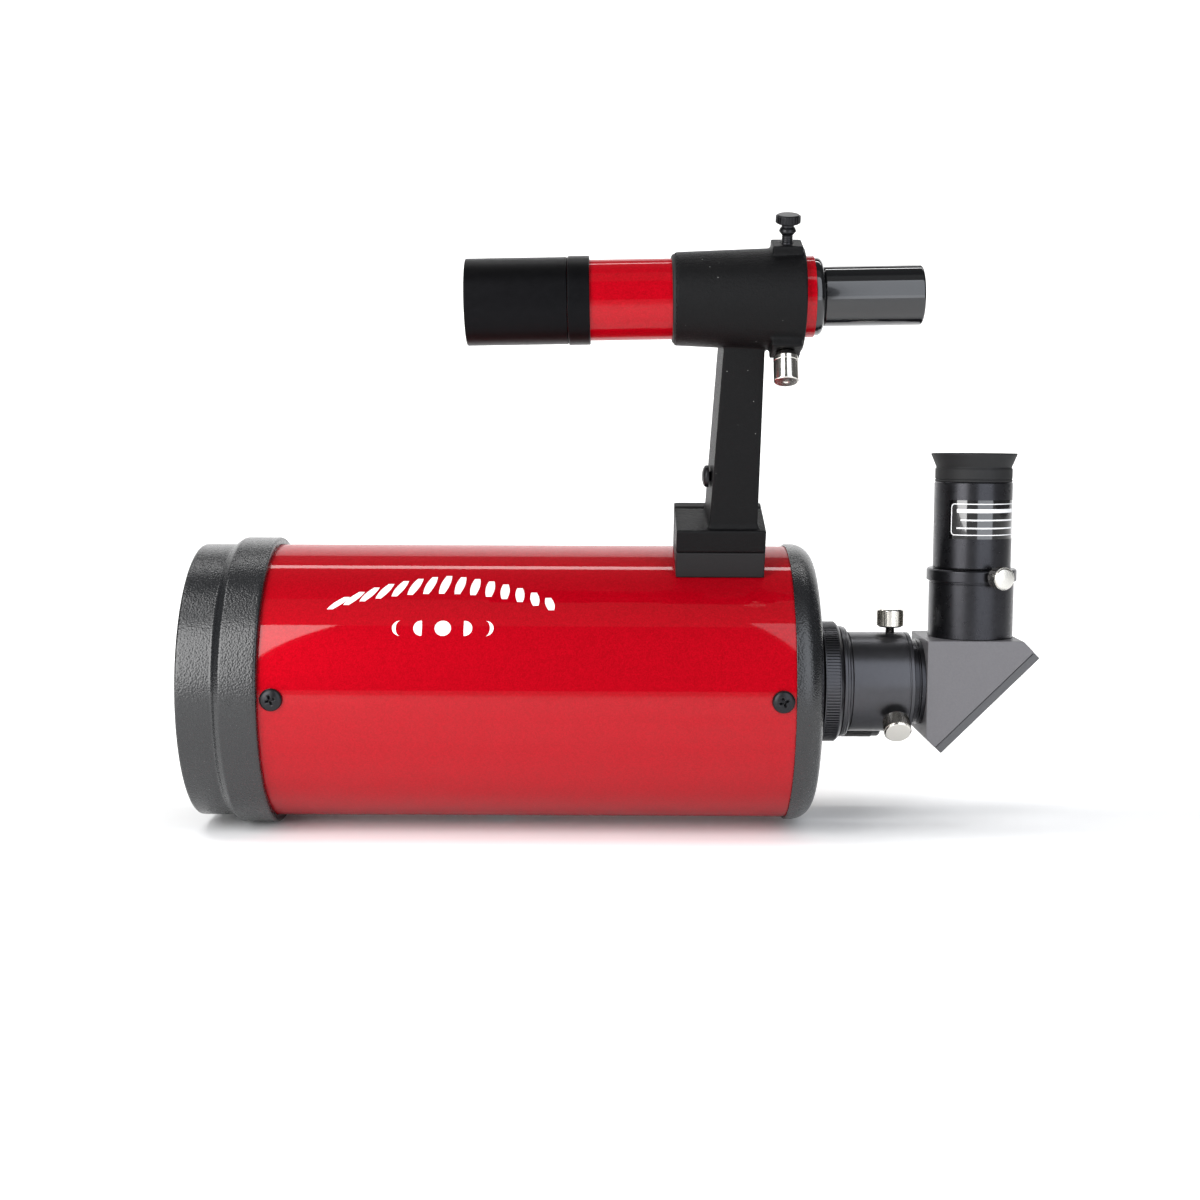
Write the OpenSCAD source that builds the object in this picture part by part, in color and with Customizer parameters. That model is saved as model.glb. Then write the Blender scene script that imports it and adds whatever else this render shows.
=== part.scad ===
// Maksutov telescope with star diagonal, eyepiece and finder.
// X runs along the optical axis towards the eye end, Z is up.
// The origin is the mouth of the tripod thread on the belly of the tube.

/* [Main tube] */
// Outside diameter of the main tube
tube_d = 117; // [116:0.5:118]
// Wall thickness of the main tube
tube_wall = 2; // [1.8:0.1:2.2]
// Front end of the tube, inside the front cell
tube_front = -104; // [-105:0.5:-103]
// Rear end of the tube, inside the rear cell
tube_rear = 124.3; // [124:0.1:124.6]

/* [Front cell] */
// Front edge of the hood
hood_front = -127.5; // [-132:0.5:-124]
// Wall thickness of the hood
hood_wall = 3; // [2.5:0.1:3.5]
// Radial step from the hood up to the clamping ring
ring_step = 3; // [2.5:0.1:3.5]
// Rear edge of the ring, where it overlaps the tube
ring_rear = -94; // [-95:0.5:-93]
// Radius of the corrector lens
corrector_r = 53.2; // [52.8:0.1:53.2]
// Thickness of the corrector lens
corrector_t = 9.5; // [9:0.1:9.5]

/* [Rear cell] */
// Front edge of the rear cell, where it overlaps the tube
rear_front = 122.5; // [121:0.5:124]
// Rear face of the rear cell
rear_face = 134.3; // [134.1:0.1:134.5]
// Outside diameter of the rear cell
rear_d = 119; // [119:0.5:121]
// Radius of the rounded rear edge
rear_round = 9; // [6:0.5:10]

/* [Visual back and diagonal] */
// Outside diameter of the knurled lock ring
lock_d = 52; // [50:0.5:54]
// Outside diameter of the visual back tube
back_d = 43; // [42:0.5:44]
// Rear end of the visual back
back_rear = 177; // [176.5:0.1:177]
// Radius of every push-fit eyepiece barrel
barrel_r = 15.85; // [15.84:0.01:15.88]
// Radius of the sockets that take those barrels
socket_r = 15.925; // [15.92:0.005:15.94]
// Where the eyepiece axis crosses the optical axis
fold_x = 203.7; // [203.5:0.1:204]
// Width of the diagonal housing
fold_w = 39; // [38:0.5:41]

/* [Eyepiece] */
// Outside diameter of the eyepiece barrel
eye_d = 33.1; // [32.5:0.1:34]
// Outside diameter of the eyecup's rim
cup_d = 36.4; // [35:0.2:38]

/* [Finder] */
// Lean of the finder towards the near side, in degrees
finder_lean = 20; // [15:1:25]
// Distance from the optical axis to the finder's axis
finder_h = 169.6; // [166:0.2:172]
// Upward tilt of the finder's eye end, in degrees
finder_tilt = 1.2; // [1.1:0.05:1.3]
// Outside diameter of the finder tube
finder_d = 31.4; // [31.4:0.1:31.6]
// Front edge of the finder hood
finder_front = -9.4; // [-12:0.1:-8]
// Eye end of the finder
finder_rear = 168.8; // [165:0.1:175]

/* [Focuser] */
// Sideways offset of the focus knob from the optical axis
focus_y = 35; // [34:0.5:36]
// Height of the focus knob below the optical axis
focus_drop = 19.5; // [19:0.5:20]
// Outside diameter of the focus knob
knob_d = 22; // [20:0.5:23]

/* [Hidden] */

fit = 0.05;                       // radial gap of parts that sit or turn in each other
tube_r = tube_d / 2;
bore_r = tube_r - tube_wall;
axis_z = tube_r;
ring_r = tube_r + ring_step;
rear_r = rear_d / 2;
finder_r = finder_d / 2;

// Corrector and its seat
seat_x = -97.4;
gasket_t = 0.8;
corrector_edge = seat_x - gasket_t - 0.1;
corrector_front_r = 144;
corrector_rear_r = 150;
corrector_vertex = corrector_edge + sag(corrector_rear_r, corrector_r);

// Screws that hold the cells: height of the heads, places along the tube, angles about it
cell_screw_front = -88.4;
cell_screw_rear = 117.2;
cell_screw_angles = [90, 210, 330];
cell_screw_r = 1.75;
cell_head_r = 4.6;
cell_head_h = 2.6;

// Light path
baffle_r = 14;
baffle_wall = 1.5;
mirror_vertex = 95;
mirror_back = 108;
mirror_r = 51;
mirror_hole_r = 20.1;
mirror_curve = 480;
sleeve_r = 19.9;
sleeve_rear = 116.3;

// Rear port and visual back
plate_x = 129.3;
port_r = 19;
port_rear = 145.6;
back_r = back_d / 2;
flange_x = 146.7;
groove_x = 149.6;
back_front = 150.8;
back_screw_x = 169;
back_side_turn = 125;
back_shank_r = 1.9;
light_r = 13.6;

// Star diagonal: planes along the mirror normal d and along the mirror t
fold_left = -21.7;
fold_top = 20;
fold_seam = 5.6;
fold_cover = 9.15;
fold_t = [-30.7, 27.4];
spigot_r = 16.9;
spigot_l = 4.7;
collar_z = 44.5;
holder_top = 49.6;
holder_r = 18;
collar_r = 19.1;
holder_screw_z = 47;
holder_screw_turn = 18;
holder_shank_r = 1.5;

// Eyepiece heights above the optical axis
eye_bottom = 49.7;
eye_shoulder = 86.8;
cup_neck = 92.6;
cup_top = 98.9;
sleeve_low = 25;

// Finder shoe and bracket, measured out from the optical axis
shoe_x = [74.5, 111];
shoe_y = [-16, 15];
shoe_top = 67.7;
foot_top = 77.5;
foot_y = [-16, 8];
rail_y = 10;
slot_floor = 62;
tongue_low = [-9, 5];
tongue_high = [-6.5, 2.5];
shoe_screw_x = [83.5, 102];
clamp_x = 92.8;
clamp_z = 72.6;
clamp_r = 2;

// Finder ring, its screws and the pivot of the finder
pivot_x = 72.2;
bracket_x = [72, 122.2];
bracket_r = [18.1, 20.3];
bracket_bore = [16.9, 18.4];
o_ring_recess = 74.3;
align_x = 115.1;
align_top_turn = 0;
align_side_turn = -90;
plunger_turn = 138.4;
boss_l = 11.8;
boss_w = 12;
boss_top = 22.4;
align_shank_r = 2.2;
align_shift = (align_x - pivot_x) * tan(finder_tilt);
plunger_thread_r = 3.2;

// Finder tube places along its own axis
finder_tube_front = 13;
finder_tube_rear = 126.3;
hood_band = 30.4;
hood_r = 16.9;
lock_band = 39;
lock_band_r = 17.25;
end_ring_rear = 129.7;
ocular_r = 11.7;

// Focuser
bush_r = 9;
focus_sleeve_r = 5.4;
bolt_r = 3;
knob_front = 145.5;
knob_rear = 170.4;

// Depth of a spherical surface of radius curve at the distance r from its axis
function sag(curve, r) = curve - sqrt(curve * curve - r * r);

// Points [radius, x] of an arc
function arc(centre, r, from, to, steps = 6) =
    [for (i = [0:steps]) let (a = from + (to - from) * i / steps)
        centre + r * [cos(a), sin(a)]];

// Points [radius, x] along a spherical surface that bends towards the front at its edge
function dish(vertex, curve, from_r, to_r, steps = 12) =
    [for (i = [0:steps]) let (r = from_r + (to_r - from_r) * i / steps)
        [r, vertex - sag(curve, r)]];

// A place in the diagonal, t along the mirror and d out through its back
function at_mirror(t, d) = [(t + d) / sqrt(2), (t - d) / sqrt(2)];

// Turns an outline of [radius, x] about the optical axis
module turned(outline)
    translate([0, 0, axis_z]) rotate([0, 90, 0]) rotate_extrude($fn = 120) polygon(outline);

// Plain tube on the optical axis
module pipe(from, to, outer, inner)
    turned([[inner, from], [outer, from], [outer, to], [inner, to]]);

// Places children on a radius of the optical axis: turn 0 is up, 90 is the near side
module radial(x, turn)
    translate([x, 0, axis_z]) rotate([turn, 0, 0]) children();

// Frame of the finder bracket: origin on the optical axis, Z out through the finder
module leaning()
    translate([0, 0, axis_z]) rotate([finder_lean, 0, 0]) children();

// Frame on the axis of the bracket's ring
module ring_frame()
    leaning() translate([0, 0, finder_h]) children();

// Frame of the finder itself, tilted about its rubber ring
module finder_frame()
    ring_frame() translate([pivot_x, 0, 0]) rotate([0, -finder_tilt, 0])
        translate([-pivot_x, 0, 0]) children();

// Turns an outline of [radius, x] about the finder's axis
module finder_turned(outline)
    finder_frame() rotate([0, 90, 0]) rotate_extrude($fn = 96) polygon(outline);

// Plain tube on the finder's axis
module finder_pipe(from, to, outer, inner)
    finder_turned([[inner, from], [outer, from], [outer, to], [inner, to]]);

// Turns an outline of [radius, height] about the eyepiece axis, height from the optical axis
module eye_turned(outline)
    translate([fold_x, 0, axis_z]) rotate_extrude($fn = 96) polygon(outline);

// Straight hole or shank along Z
module rod(r, from, to)
    translate([0, 0, from]) cylinder(h = to - from, r = r, $fn = 48);

// Cross recess in the top of a screw head
module cross_recess(top, span, depth)
    for (a = [0, 90]) rotate([0, 0, a])
        translate([-span / 2, -span / 10, top - depth]) cube([span, span / 5, depth + 1]);

// Pan-head screw whose head sits at height seat
module pan_screw(head_r, head_h, shank_r, tip, seat)
    difference() {
        rotate_extrude($fn = 48) polygon(concat(
            [[0, tip], [shank_r, tip], [shank_r, seat], [head_r, seat], [head_r, seat + head_h * 0.35]],
            arc([head_r * 0.55, seat + head_h * 0.35], head_h * 0.65, 0, 90, 1),
            [[0, seat + head_h]]));
        cross_recess(seat + head_h, head_r, head_h * 0.5);
    }

// Countersunk screw whose flat head ends at height top
module flat_screw(head_r, shank_r, tip, top)
    difference() {
        rotate_extrude($fn = 48) polygon([[0, tip], [shank_r, tip],
            [shank_r, top - (head_r - shank_r)], [head_r, top], [0, top]]);
        cross_recess(top, head_r, 1);
    }

// Knurled thumbscrew along Z
module thumbscrew(knob_r, from, to, shank_r, tip)
    rotate_extrude($fn = 64) polygon([[0, tip], [shank_r, tip], [shank_r, from],
        [knob_r - 0.5, from], [knob_r, from + 0.5], [knob_r, to - 0.5], [knob_r - 0.5, to], [0, to]]);

// Helical wire along Z, swept with an eight-sided section
module coil(mean_r, wire_r, from, to, turns) {
    sides = 8;
    rings = turns * 16;
    points = [for (i = [0:rings]) let (a = 360 * turns * i / rings,
        h = from + (to - from) * i / rings)
        for (k = [0:sides - 1]) let (b = 360 * k / sides, r = mean_r + wire_r * cos(b))
            [r * cos(a), r * sin(a), h + wire_r * sin(b)]];
    walls = [for (i = [0:rings - 1]) for (k = [0:sides - 1]) let (n = (k + 1) % sides)
        for (f = [[i * sides + k, (i + 1) * sides + k, i * sides + n],
                  [i * sides + n, (i + 1) * sides + k, (i + 1) * sides + n]]) f];
    caps = [[for (k = [0:sides - 1]) k], [for (k = [sides - 1:-1:0]) rings * sides + k]];
    polyhedron(points, concat(walls, caps));
}

// ---- Optical tube ----

module main_tube() color([0.72, 0.04, 0.09]) difference() {
    pipe(tube_front, tube_rear, tube_r, bore_r);
    for (x = [cell_screw_front, cell_screw_rear], a = cell_screw_angles)
        radial(x, a) rod(cell_screw_r + 0.15, bore_r - 2, tube_r + 2);
    leaning() for (x = shoe_screw_x) translate([x, 0, 0]) rod(2.1, bore_r - 2, tube_r + 2);
    rod(6.5, -1, 4);
    for (x = [-20, 20]) translate([x, 0, 0]) {
        rod(2.1, -1, 4);
        translate([0, 0, -0.1]) cylinder(h = 2.1, r1 = 4.15, r2 = 2.05, $fn = 48);
    }
}

module front_cell() color([0.07, 0.07, 0.075]) difference() {
    inner = tube_r - hood_wall;
    turned(concat(
        [[inner, hood_front], [tube_r - 1.2, hood_front]],
        arc([tube_r - 1.2, hood_front + 1.2], 1.2, -90, 0),
        arc([tube_r + ring_step / 2, -112.3], ring_step / 2, 180, 90),
        arc([ring_r - ring_step / 2, -109.3], ring_step / 2, -90, 0),
        arc([ring_r - 1.2, ring_rear - 1.2], 1.2, 0, 90),
        [[tube_r + fit, ring_rear], [tube_r + fit, tube_front - 0.1], [bore_r - fit, tube_front - 0.1],
         [bore_r - fit, -80], [53.9, -80], [53.9, seat_x + 2], [51, seat_x + 2], [51, seat_x],
         [corrector_r + 0.1, seat_x], [corrector_r + 0.1, -109.2], [54.4, -109.2], [54.4, -113],
         [inner, -113]]));
    for (a = cell_screw_angles) radial(cell_screw_front, a) rod(cell_screw_r, 50, tube_r);
}

module corrector_gasket() color([0.1, 0.1, 0.1]) turned(concat(
    dish(corrector_vertex + 0.02, corrector_rear_r, 52, corrector_r - 0.1, 2),
    [[corrector_r - 0.1, seat_x], [52, seat_x]]));

module corrector_lens() color([0.75, 0.9, 0.95, 0.4]) turned(concat(
    dish(corrector_vertex - corrector_t, corrector_front_r, 0, corrector_r),
    dish(corrector_vertex, corrector_rear_r, corrector_r, 0)));

module corrector_retainer() color([0.07, 0.07, 0.075])
    turned([[51, -112], [54.35, -112], [54.35, -109.3], [corrector_r, -109.3],
            [corrector_r, -108.35], [51, -108.35]]);

module secondary_spot() color([0.9, 0.92, 0.95]) turned(concat(
    dish(corrector_vertex + 0.02, corrector_rear_r, 0, 13),
    dish(corrector_vertex + 0.3, corrector_rear_r, 13, 0)));

module secondary_baffle() color([0.06, 0.06, 0.06]) turned(concat(
    dish(corrector_vertex + 0.02, corrector_rear_r, 13.6, 16, 2),
    [[16, -86], [14.6, -84.5], [15.6, -60], [14.6, -60], [13.6, -84.5]]));

module front_cell_screws() color([0.12, 0.12, 0.12])
    for (a = cell_screw_angles) radial(cell_screw_front, a)
        pan_screw(cell_head_r, cell_head_h, cell_screw_r - fit, 52.5, tube_r + fit);

module rear_cell() color([0.07, 0.07, 0.075]) difference() {
    turned(concat(
        [[tube_r + fit, rear_front], [rear_r - 0.4, rear_front], [rear_r, rear_front + 0.4]],
        arc([rear_r - rear_round, rear_face - rear_round], rear_round, 0, 90, 10),
        [[port_r, rear_face], [port_r, port_rear], [16, port_rear], [16, plate_x],
         [53.4, plate_x], [53.4, 108], [bore_r - fit, 108], [bore_r - fit, tube_rear + 0.1],
         [tube_r + fit, tube_rear + 0.1]]));
    for (a = cell_screw_angles) radial(cell_screw_rear, a) rod(cell_screw_r, 50, tube_r);
    on_focus() rod(bush_r - 2 + fit, plate_x - 1, rear_face + 1);
    on_baffle_screws() rod(1.3, plate_x - 7, plate_x + 4);
}

module rear_cell_screws() color([0.12, 0.12, 0.12])
    for (a = cell_screw_angles) radial(cell_screw_rear, a)
        pan_screw(cell_head_r, cell_head_h, cell_screw_r - fit, 52.5, tube_r + fit);

// Frame along X through the baffle's fixing screws
module on_baffle_screws()
    for (a = [60, 180, 300]) translate([0, 0, axis_z]) rotate([a, 0, 0])
        translate([0, 0, 20.5]) rotate([0, 90, 0]) children();

module baffle_tube() color([0.1, 0.1, 0.1]) difference() {
    turned([[baffle_r - baffle_wall, -15], [baffle_r, -15], [baffle_r, plate_x - 4], [24, plate_x - 4],
            [24, plate_x], [baffle_r - baffle_wall, plate_x]]);
    on_baffle_screws() rod(1.5, plate_x - 5, plate_x + 1);
}

module baffle_screws() color([0.6, 0.6, 0.6])
    on_baffle_screws() mirror([0, 0, 1]) pan_screw(2.4, 1.8, 1.25, -plate_x - 3, 4 - plate_x);

// ---- Tripod mount inside the belly ----

module mount_block() color([0.45, 0.45, 0.47]) difference() {
    union() {
        intersection() {
            translate([-30, -13, 0]) cube([60, 26, 13]);
            turned([[0, -31], [bore_r - fit, -31], [bore_r - fit, 31], [0, 31]]);
        }
        rod(6.4, 0, 8);
    }
    rod(2.6, -1, 11);
    for (x = [-20, 20]) translate([x, 0, 0]) rod(1.7, 0, 14);
}

module mount_block_screws() color([0.15, 0.15, 0.15])
    for (x = [-20, 20]) translate([x, 0, 0]) mirror([0, 0, 1]) flat_screw(3.55, 1.65, -10, -0.1);

// ---- Moving mirror and focuser ----

// Frame along X on the focus knob's axis
module on_focus()
    translate([0, focus_y, axis_z - focus_drop]) rotate([0, 90, 0]) children();

module mirror_carriage() color([0.5, 0.5, 0.52]) difference() {
    union() {
        turned([[baffle_r + fit, 84], [sleeve_r, 84], [sleeve_r, mirror_back + 0.2],
                [46, mirror_back + 0.2], [46, mirror_back + 5.2], [sleeve_r, mirror_back + 5.2],
                [sleeve_r, sleeve_rear], [baffle_r + fit, sleeve_rear]]);
        on_focus() rod(6.5, mirror_back + 1, 115.3);
    }
    on_focus() rod(bolt_r + fit, mirror_back + 2.2, 120);
}

module primary_mirror() color([0.85, 0.88, 0.92]) turned(concat(
    dish(mirror_vertex, mirror_curve, mirror_hole_r, mirror_r - 0.5),
    [[mirror_r, mirror_vertex - sag(mirror_curve, mirror_r) + 0.5], [mirror_r, mirror_back],
     [mirror_hole_r, mirror_back]]));

module mirror_retainer() color([0.2, 0.2, 0.2])
    pipe(90.3, 94.2, 25, sleeve_r + fit);

module focus_bolt() color([0.6, 0.6, 0.62])
    on_focus() rod(bolt_r, mirror_back + 2.4, 154);

module focus_bush() color([0.7, 0.6, 0.35]) on_focus() rotate_extrude($fn = 64) polygon(
    [[focus_sleeve_r + fit, plate_x - 2], [bush_r - 2, plate_x - 2], [bush_r - 2, rear_face + 0.05],
     [bush_r + 0.5, rear_face + 0.05], [bush_r + 0.5, 144], [focus_sleeve_r + fit, 144]]);

module focus_sleeve() color([0.6, 0.6, 0.62]) on_focus() rotate_extrude($fn = 64) polygon(
    [[bolt_r + fit, plate_x - 5], [7.4, plate_x - 5], [7.4, plate_x - 2.4], [focus_sleeve_r, plate_x - 2.4],
     [focus_sleeve_r, 156], [bolt_r + fit, 156]]);

module focus_knob() color([0.06, 0.06, 0.06]) on_focus() rotate_extrude($fn = 72) polygon(
    [[focus_sleeve_r + fit, knob_front], [knob_d / 2 - 1, knob_front], [knob_d / 2, knob_front + 1],
     [knob_d / 2, knob_rear - 2.5], [knob_d / 2 - 2.5, knob_rear], [0, knob_rear],
     [0, knob_rear - 3], [bolt_r + 0.5, knob_rear - 3], [bolt_r + 0.5, 156.1],
     [focus_sleeve_r + fit, 156.1]]);

// ---- Rear port ----

module lock_ring() color([0.08, 0.08, 0.08]) turned(
    [[port_r + fit, 138], [lock_d / 2 - 1, 138], [lock_d / 2, 139], [lock_d / 2, 144.8],
     [lock_d / 2 - 1.6, 146.4], [port_r + fit, 146.4]]);

module visual_back() color([0.09, 0.09, 0.09]) difference() {
    turned([[light_r, 140], [16 - fit, 140], [16 - fit, flange_x], [24, flange_x],
            [24, groove_x - 0.6], [23.4, groove_x], [back_r - 0.8, groove_x],
            [back_r - 0.8, back_front], [back_r, back_front], [back_r, back_rear - 2.4],
            [back_r - 0.4, back_rear - 2.2], [back_r - 0.4, back_rear - 1.8],
            [back_r, back_rear - 1.6], [back_r, back_rear - 0.4], [back_r - 0.4, back_rear],
            [socket_r, back_rear], [socket_r, 153], [light_r, 153]]);
    for (a = [0, back_side_turn]) radial(back_screw_x, a) rod(back_shank_r + fit, 15, 25);
}

module back_thumbscrew(turn) color([0.8, 0.8, 0.82])
    radial(back_screw_x, turn) thumbscrew(5.65, 23.9, 31.2, back_shank_r, barrel_r + 0.1);

module back_screw_top() back_thumbscrew(0);
module back_screw_side() back_thumbscrew(back_side_turn);

// ---- Star diagonal ----

// Extrudes an outline of [x, z] about the fold point across the housing's width
module across(width, outline)
    translate([fold_x, width / 2, axis_z]) rotate([90, 0, 0]) linear_extrude(width) polygon(outline);

module diagonal_nosepiece() color([0.09, 0.09, 0.09]) turned(
    [[light_r, 155], [barrel_r - 0.4, 155], [barrel_r, 155.4], [barrel_r, back_rear + 0.2],
     [18.5, back_rear + 0.2], [18.5, fold_x + fold_left],
     [spigot_r, fold_x + fold_left], [spigot_r, fold_x + fold_left + spigot_l],
     [light_r, fold_x + fold_left + spigot_l]]);

module diagonal_body() color([0.13, 0.13, 0.13]) difference() {
    across(fold_w, [
        [fold_left, fold_top], [fold_t[1] * sqrt(2) - fold_top, fold_top],
        at_mirror(fold_t[1], fold_seam), at_mirror(fold_t[0], fold_seam),
        [fold_left, fold_t[0] * sqrt(2) - fold_left]]);
    across(29, [at_mirror(-18.5, -0.3), at_mirror(18.5, -0.3), at_mirror(18.5, 6), at_mirror(-18.5, 6)]);
    turned([[0, fold_x + fold_left - 1], [spigot_r + fit, fold_x + fold_left - 1],
            [spigot_r + fit, fold_x + fold_left + spigot_l], [light_r - 0.1, fold_x + fold_left + spigot_l],
            [light_r - 0.1, fold_x], [0, fold_x]]);
    eye_turned([[0, 0], [light_r - 0.1, 0], [light_r - 0.1, fold_top - spigot_l],
                [spigot_r + fit, fold_top - spigot_l], [spigot_r + fit, fold_top + 1], [0, fold_top + 1]]);
    on_cover_screws() rod(1.3, 2, 7);
}

module diagonal_mirror() color([0.85, 0.88, 0.92])
    across(28, [at_mirror(-18, 0), at_mirror(18, 0), at_mirror(18, 5.5), at_mirror(-18, 5.5)]);

// Frame along the mirror's normal at each cover screw
module on_cover_screws()
    for (t = [-26.5, 23.5]) translate([fold_x, 0, axis_z]) rotate([0, 135, 0])
        translate([-t, 0, 0]) children();

module diagonal_cover() color([0.16, 0.16, 0.16]) difference() {
    across(fold_w, [at_mirror(fold_t[0], fold_seam + fit), at_mirror(fold_t[1], fold_seam + fit),
                    at_mirror(fold_t[1], fold_cover), at_mirror(fold_t[0], fold_cover)]);
    on_cover_screws() {
        rod(1.5, 4, 10);
        translate([0, 0, fold_cover - 1.6]) cylinder(h = 1.7, r1 = 1.3, r2 = 3, $fn = 48);
    }
}

module diagonal_cover_screws() color([0.2, 0.2, 0.2])
    on_cover_screws() flat_screw(2.6, 1.25, 3, fold_cover - 0.1);

module eyepiece_holder() color([0.08, 0.08, 0.085]) difference() {
    eye_turned([[light_r, fold_top - spigot_l], [spigot_r, fold_top - spigot_l], [spigot_r, fold_top],
                [holder_r, fold_top], [holder_r, collar_z], [collar_r - 0.3, collar_z],
                [collar_r, collar_z + 0.3], [collar_r, holder_top - 0.6], [collar_r - 0.6, holder_top],
                [socket_r, holder_top], [socket_r, 24], [light_r, 24]]);
    on_holder_screw() rod(holder_shank_r + fit, 15, 21);
}

// Frame along the eyepiece holder's clamp screw
module on_holder_screw()
    translate([fold_x, 0, axis_z + holder_screw_z]) rotate([0, 0, holder_screw_turn])
        rotate([90, 0, 0]) children();

module holder_screw() color([0.8, 0.8, 0.82])
    on_holder_screw() thumbscrew(4.75, 20.9, 27.8, holder_shank_r, barrel_r + 0.1);

// ---- Eyepiece ----

module eyepiece_barrel() color([0.08, 0.08, 0.085]) eye_turned(
    [[14.6, eye_bottom], [eye_d / 2 - 0.3, eye_bottom], [eye_d / 2, eye_bottom + 0.3],
     [eye_d / 2, eye_shoulder - 0.3], [eye_d / 2 - 0.3, eye_shoulder], [14.8, eye_shoulder],
     [14.8, cup_neck - 0.5], [9, cup_neck - 0.5], [9, cup_neck - 2], [11.3, cup_neck - 2],
     [11.3, 79], [14, 79], [14, 56], [14.6, 56]]);

module eyepiece_sleeve() color([0.8, 0.8, 0.82]) eye_turned(
    [[14, sleeve_low], [barrel_r - 0.4, sleeve_low], [barrel_r, sleeve_low + 0.4],
     [barrel_r, eye_bottom - fit], [14.6 - fit, eye_bottom - fit], [14.6 - fit, 55.8], [13.2, 55.8],
     [13.2, 48], [14, 48]]);

// Lens with a flat rim between two curved faces
module simple_lens(r, low, high, bulge) eye_turned(concat(
    [for (i = [0:8]) let (q = r * i / 8) [q, low - bulge * (1 - pow(q / r, 2))]],
    [for (i = [8:-1:0]) let (q = r * i / 8) [q, high + bulge * (1 - pow(q / r, 2))]]));

module eye_lens() color([0.75, 0.9, 0.95, 0.4]) simple_lens(11.2, 81, 87, 1.5);
module field_lens() color([0.75, 0.9, 0.95, 0.4]) simple_lens(13.9, 66, 71, 2);

module field_stop() color([0.06, 0.06, 0.06]) eye_turned([[11, 45], [13.9, 45], [13.9, 47], [11, 47]]);

module eyecup() color([0.1, 0.1, 0.1]) eye_turned(
    [[14.85, eye_shoulder + fit], [16.3, eye_shoulder + fit], [16.3, cup_neck],
     [15.9, cup_neck + 0.5], [cup_d / 2, cup_top - 0.3], [cup_d / 2 - 0.3, cup_top],
     [cup_d / 2 - 1, cup_top], [14.6, cup_neck + 0.6], [12, cup_neck], [14.85, cup_neck - 0.3]]);

// ---- Finder shoe and bracket ----

module finder_shoe() color([0.16, 0.16, 0.16]) difference() {
    leaning() {
        translate([shoe_x[0], shoe_y[0], 50])
            cube([shoe_x[1] - shoe_x[0], shoe_y[1] - shoe_y[0], shoe_top - 50]);
        translate([shoe_x[0], rail_y, shoe_top - 1])
            cube([shoe_x[1] - shoe_x[0], shoe_y[1] - rail_y, foot_top - shoe_top + 1]);
    }
    turned([[0, 60], [tube_r + fit, 60], [tube_r + fit, 125], [0, 125]]);
    leaning() {
        translate([shoe_x[0] - 1, 0, 0]) rotate([90, 0, 90]) linear_extrude(60) polygon([
            [tongue_low[0] - 0.15, slot_floor], [tongue_low[1] + 0.15, slot_floor],
            [tongue_high[1] + 0.15, shoe_top + 0.01], [tongue_high[0] - 0.15, shoe_top + 0.01]]);
        for (x = shoe_screw_x) translate([x, 0, 0]) rod(2.1, 57, 63);
        for (x = shoe_screw_x) translate([x, 0, slot_floor - 1.9])
            cylinder(h = 2, r1 = 2.1, r2 = 4.1, $fn = 48);
        translate([clamp_x, 0, clamp_z]) rotate([-90, 0, 0]) rod(clamp_r + fit, rail_y - 1, 17);
    }
}

module finder_shoe_screws() color([0.5, 0.5, 0.5])
    leaning() for (x = shoe_screw_x) translate([x, 0, 0]) {
        flat_screw(3.8, 1.9, 52.5, slot_floor - 0.1);
        translate([0, 0, 53.2]) difference() {
            cylinder(h = 2.9, r = 4, $fn = 6);
            translate([0, 0, -1]) cylinder(h = 5, r = 1.95, $fn = 48);
        }
    }

module shoe_clamp_screw() color([0.08, 0.08, 0.08])
    leaning() translate([clamp_x, 0, clamp_z]) rotate([-90, 0, 0])
        thumbscrew(5, 16.5, 22.5, clamp_r, foot_y[1] + 0.1);

// Section of the stem: the far side is a little wider than the near side
module stem_section(z, near_x, near_y, far_y, grow = 0)
    translate([0, 0, z]) linear_extrude(0.1) polygon([
        [near_x[0] - grow, near_y - grow], [near_x[1] + grow, near_y - grow],
        [near_x[1] + 1 + grow, far_y + grow], [near_x[0] - 1 - grow, far_y + grow]]);

// Pad on the bracket's ring that carries one screw
module screw_boss(turn)
    rotate([turn, 0, 0]) translate([align_x - boss_l / 2, -boss_w / 2, 14])
        cube([boss_l, boss_w, boss_top - 14]);

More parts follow.
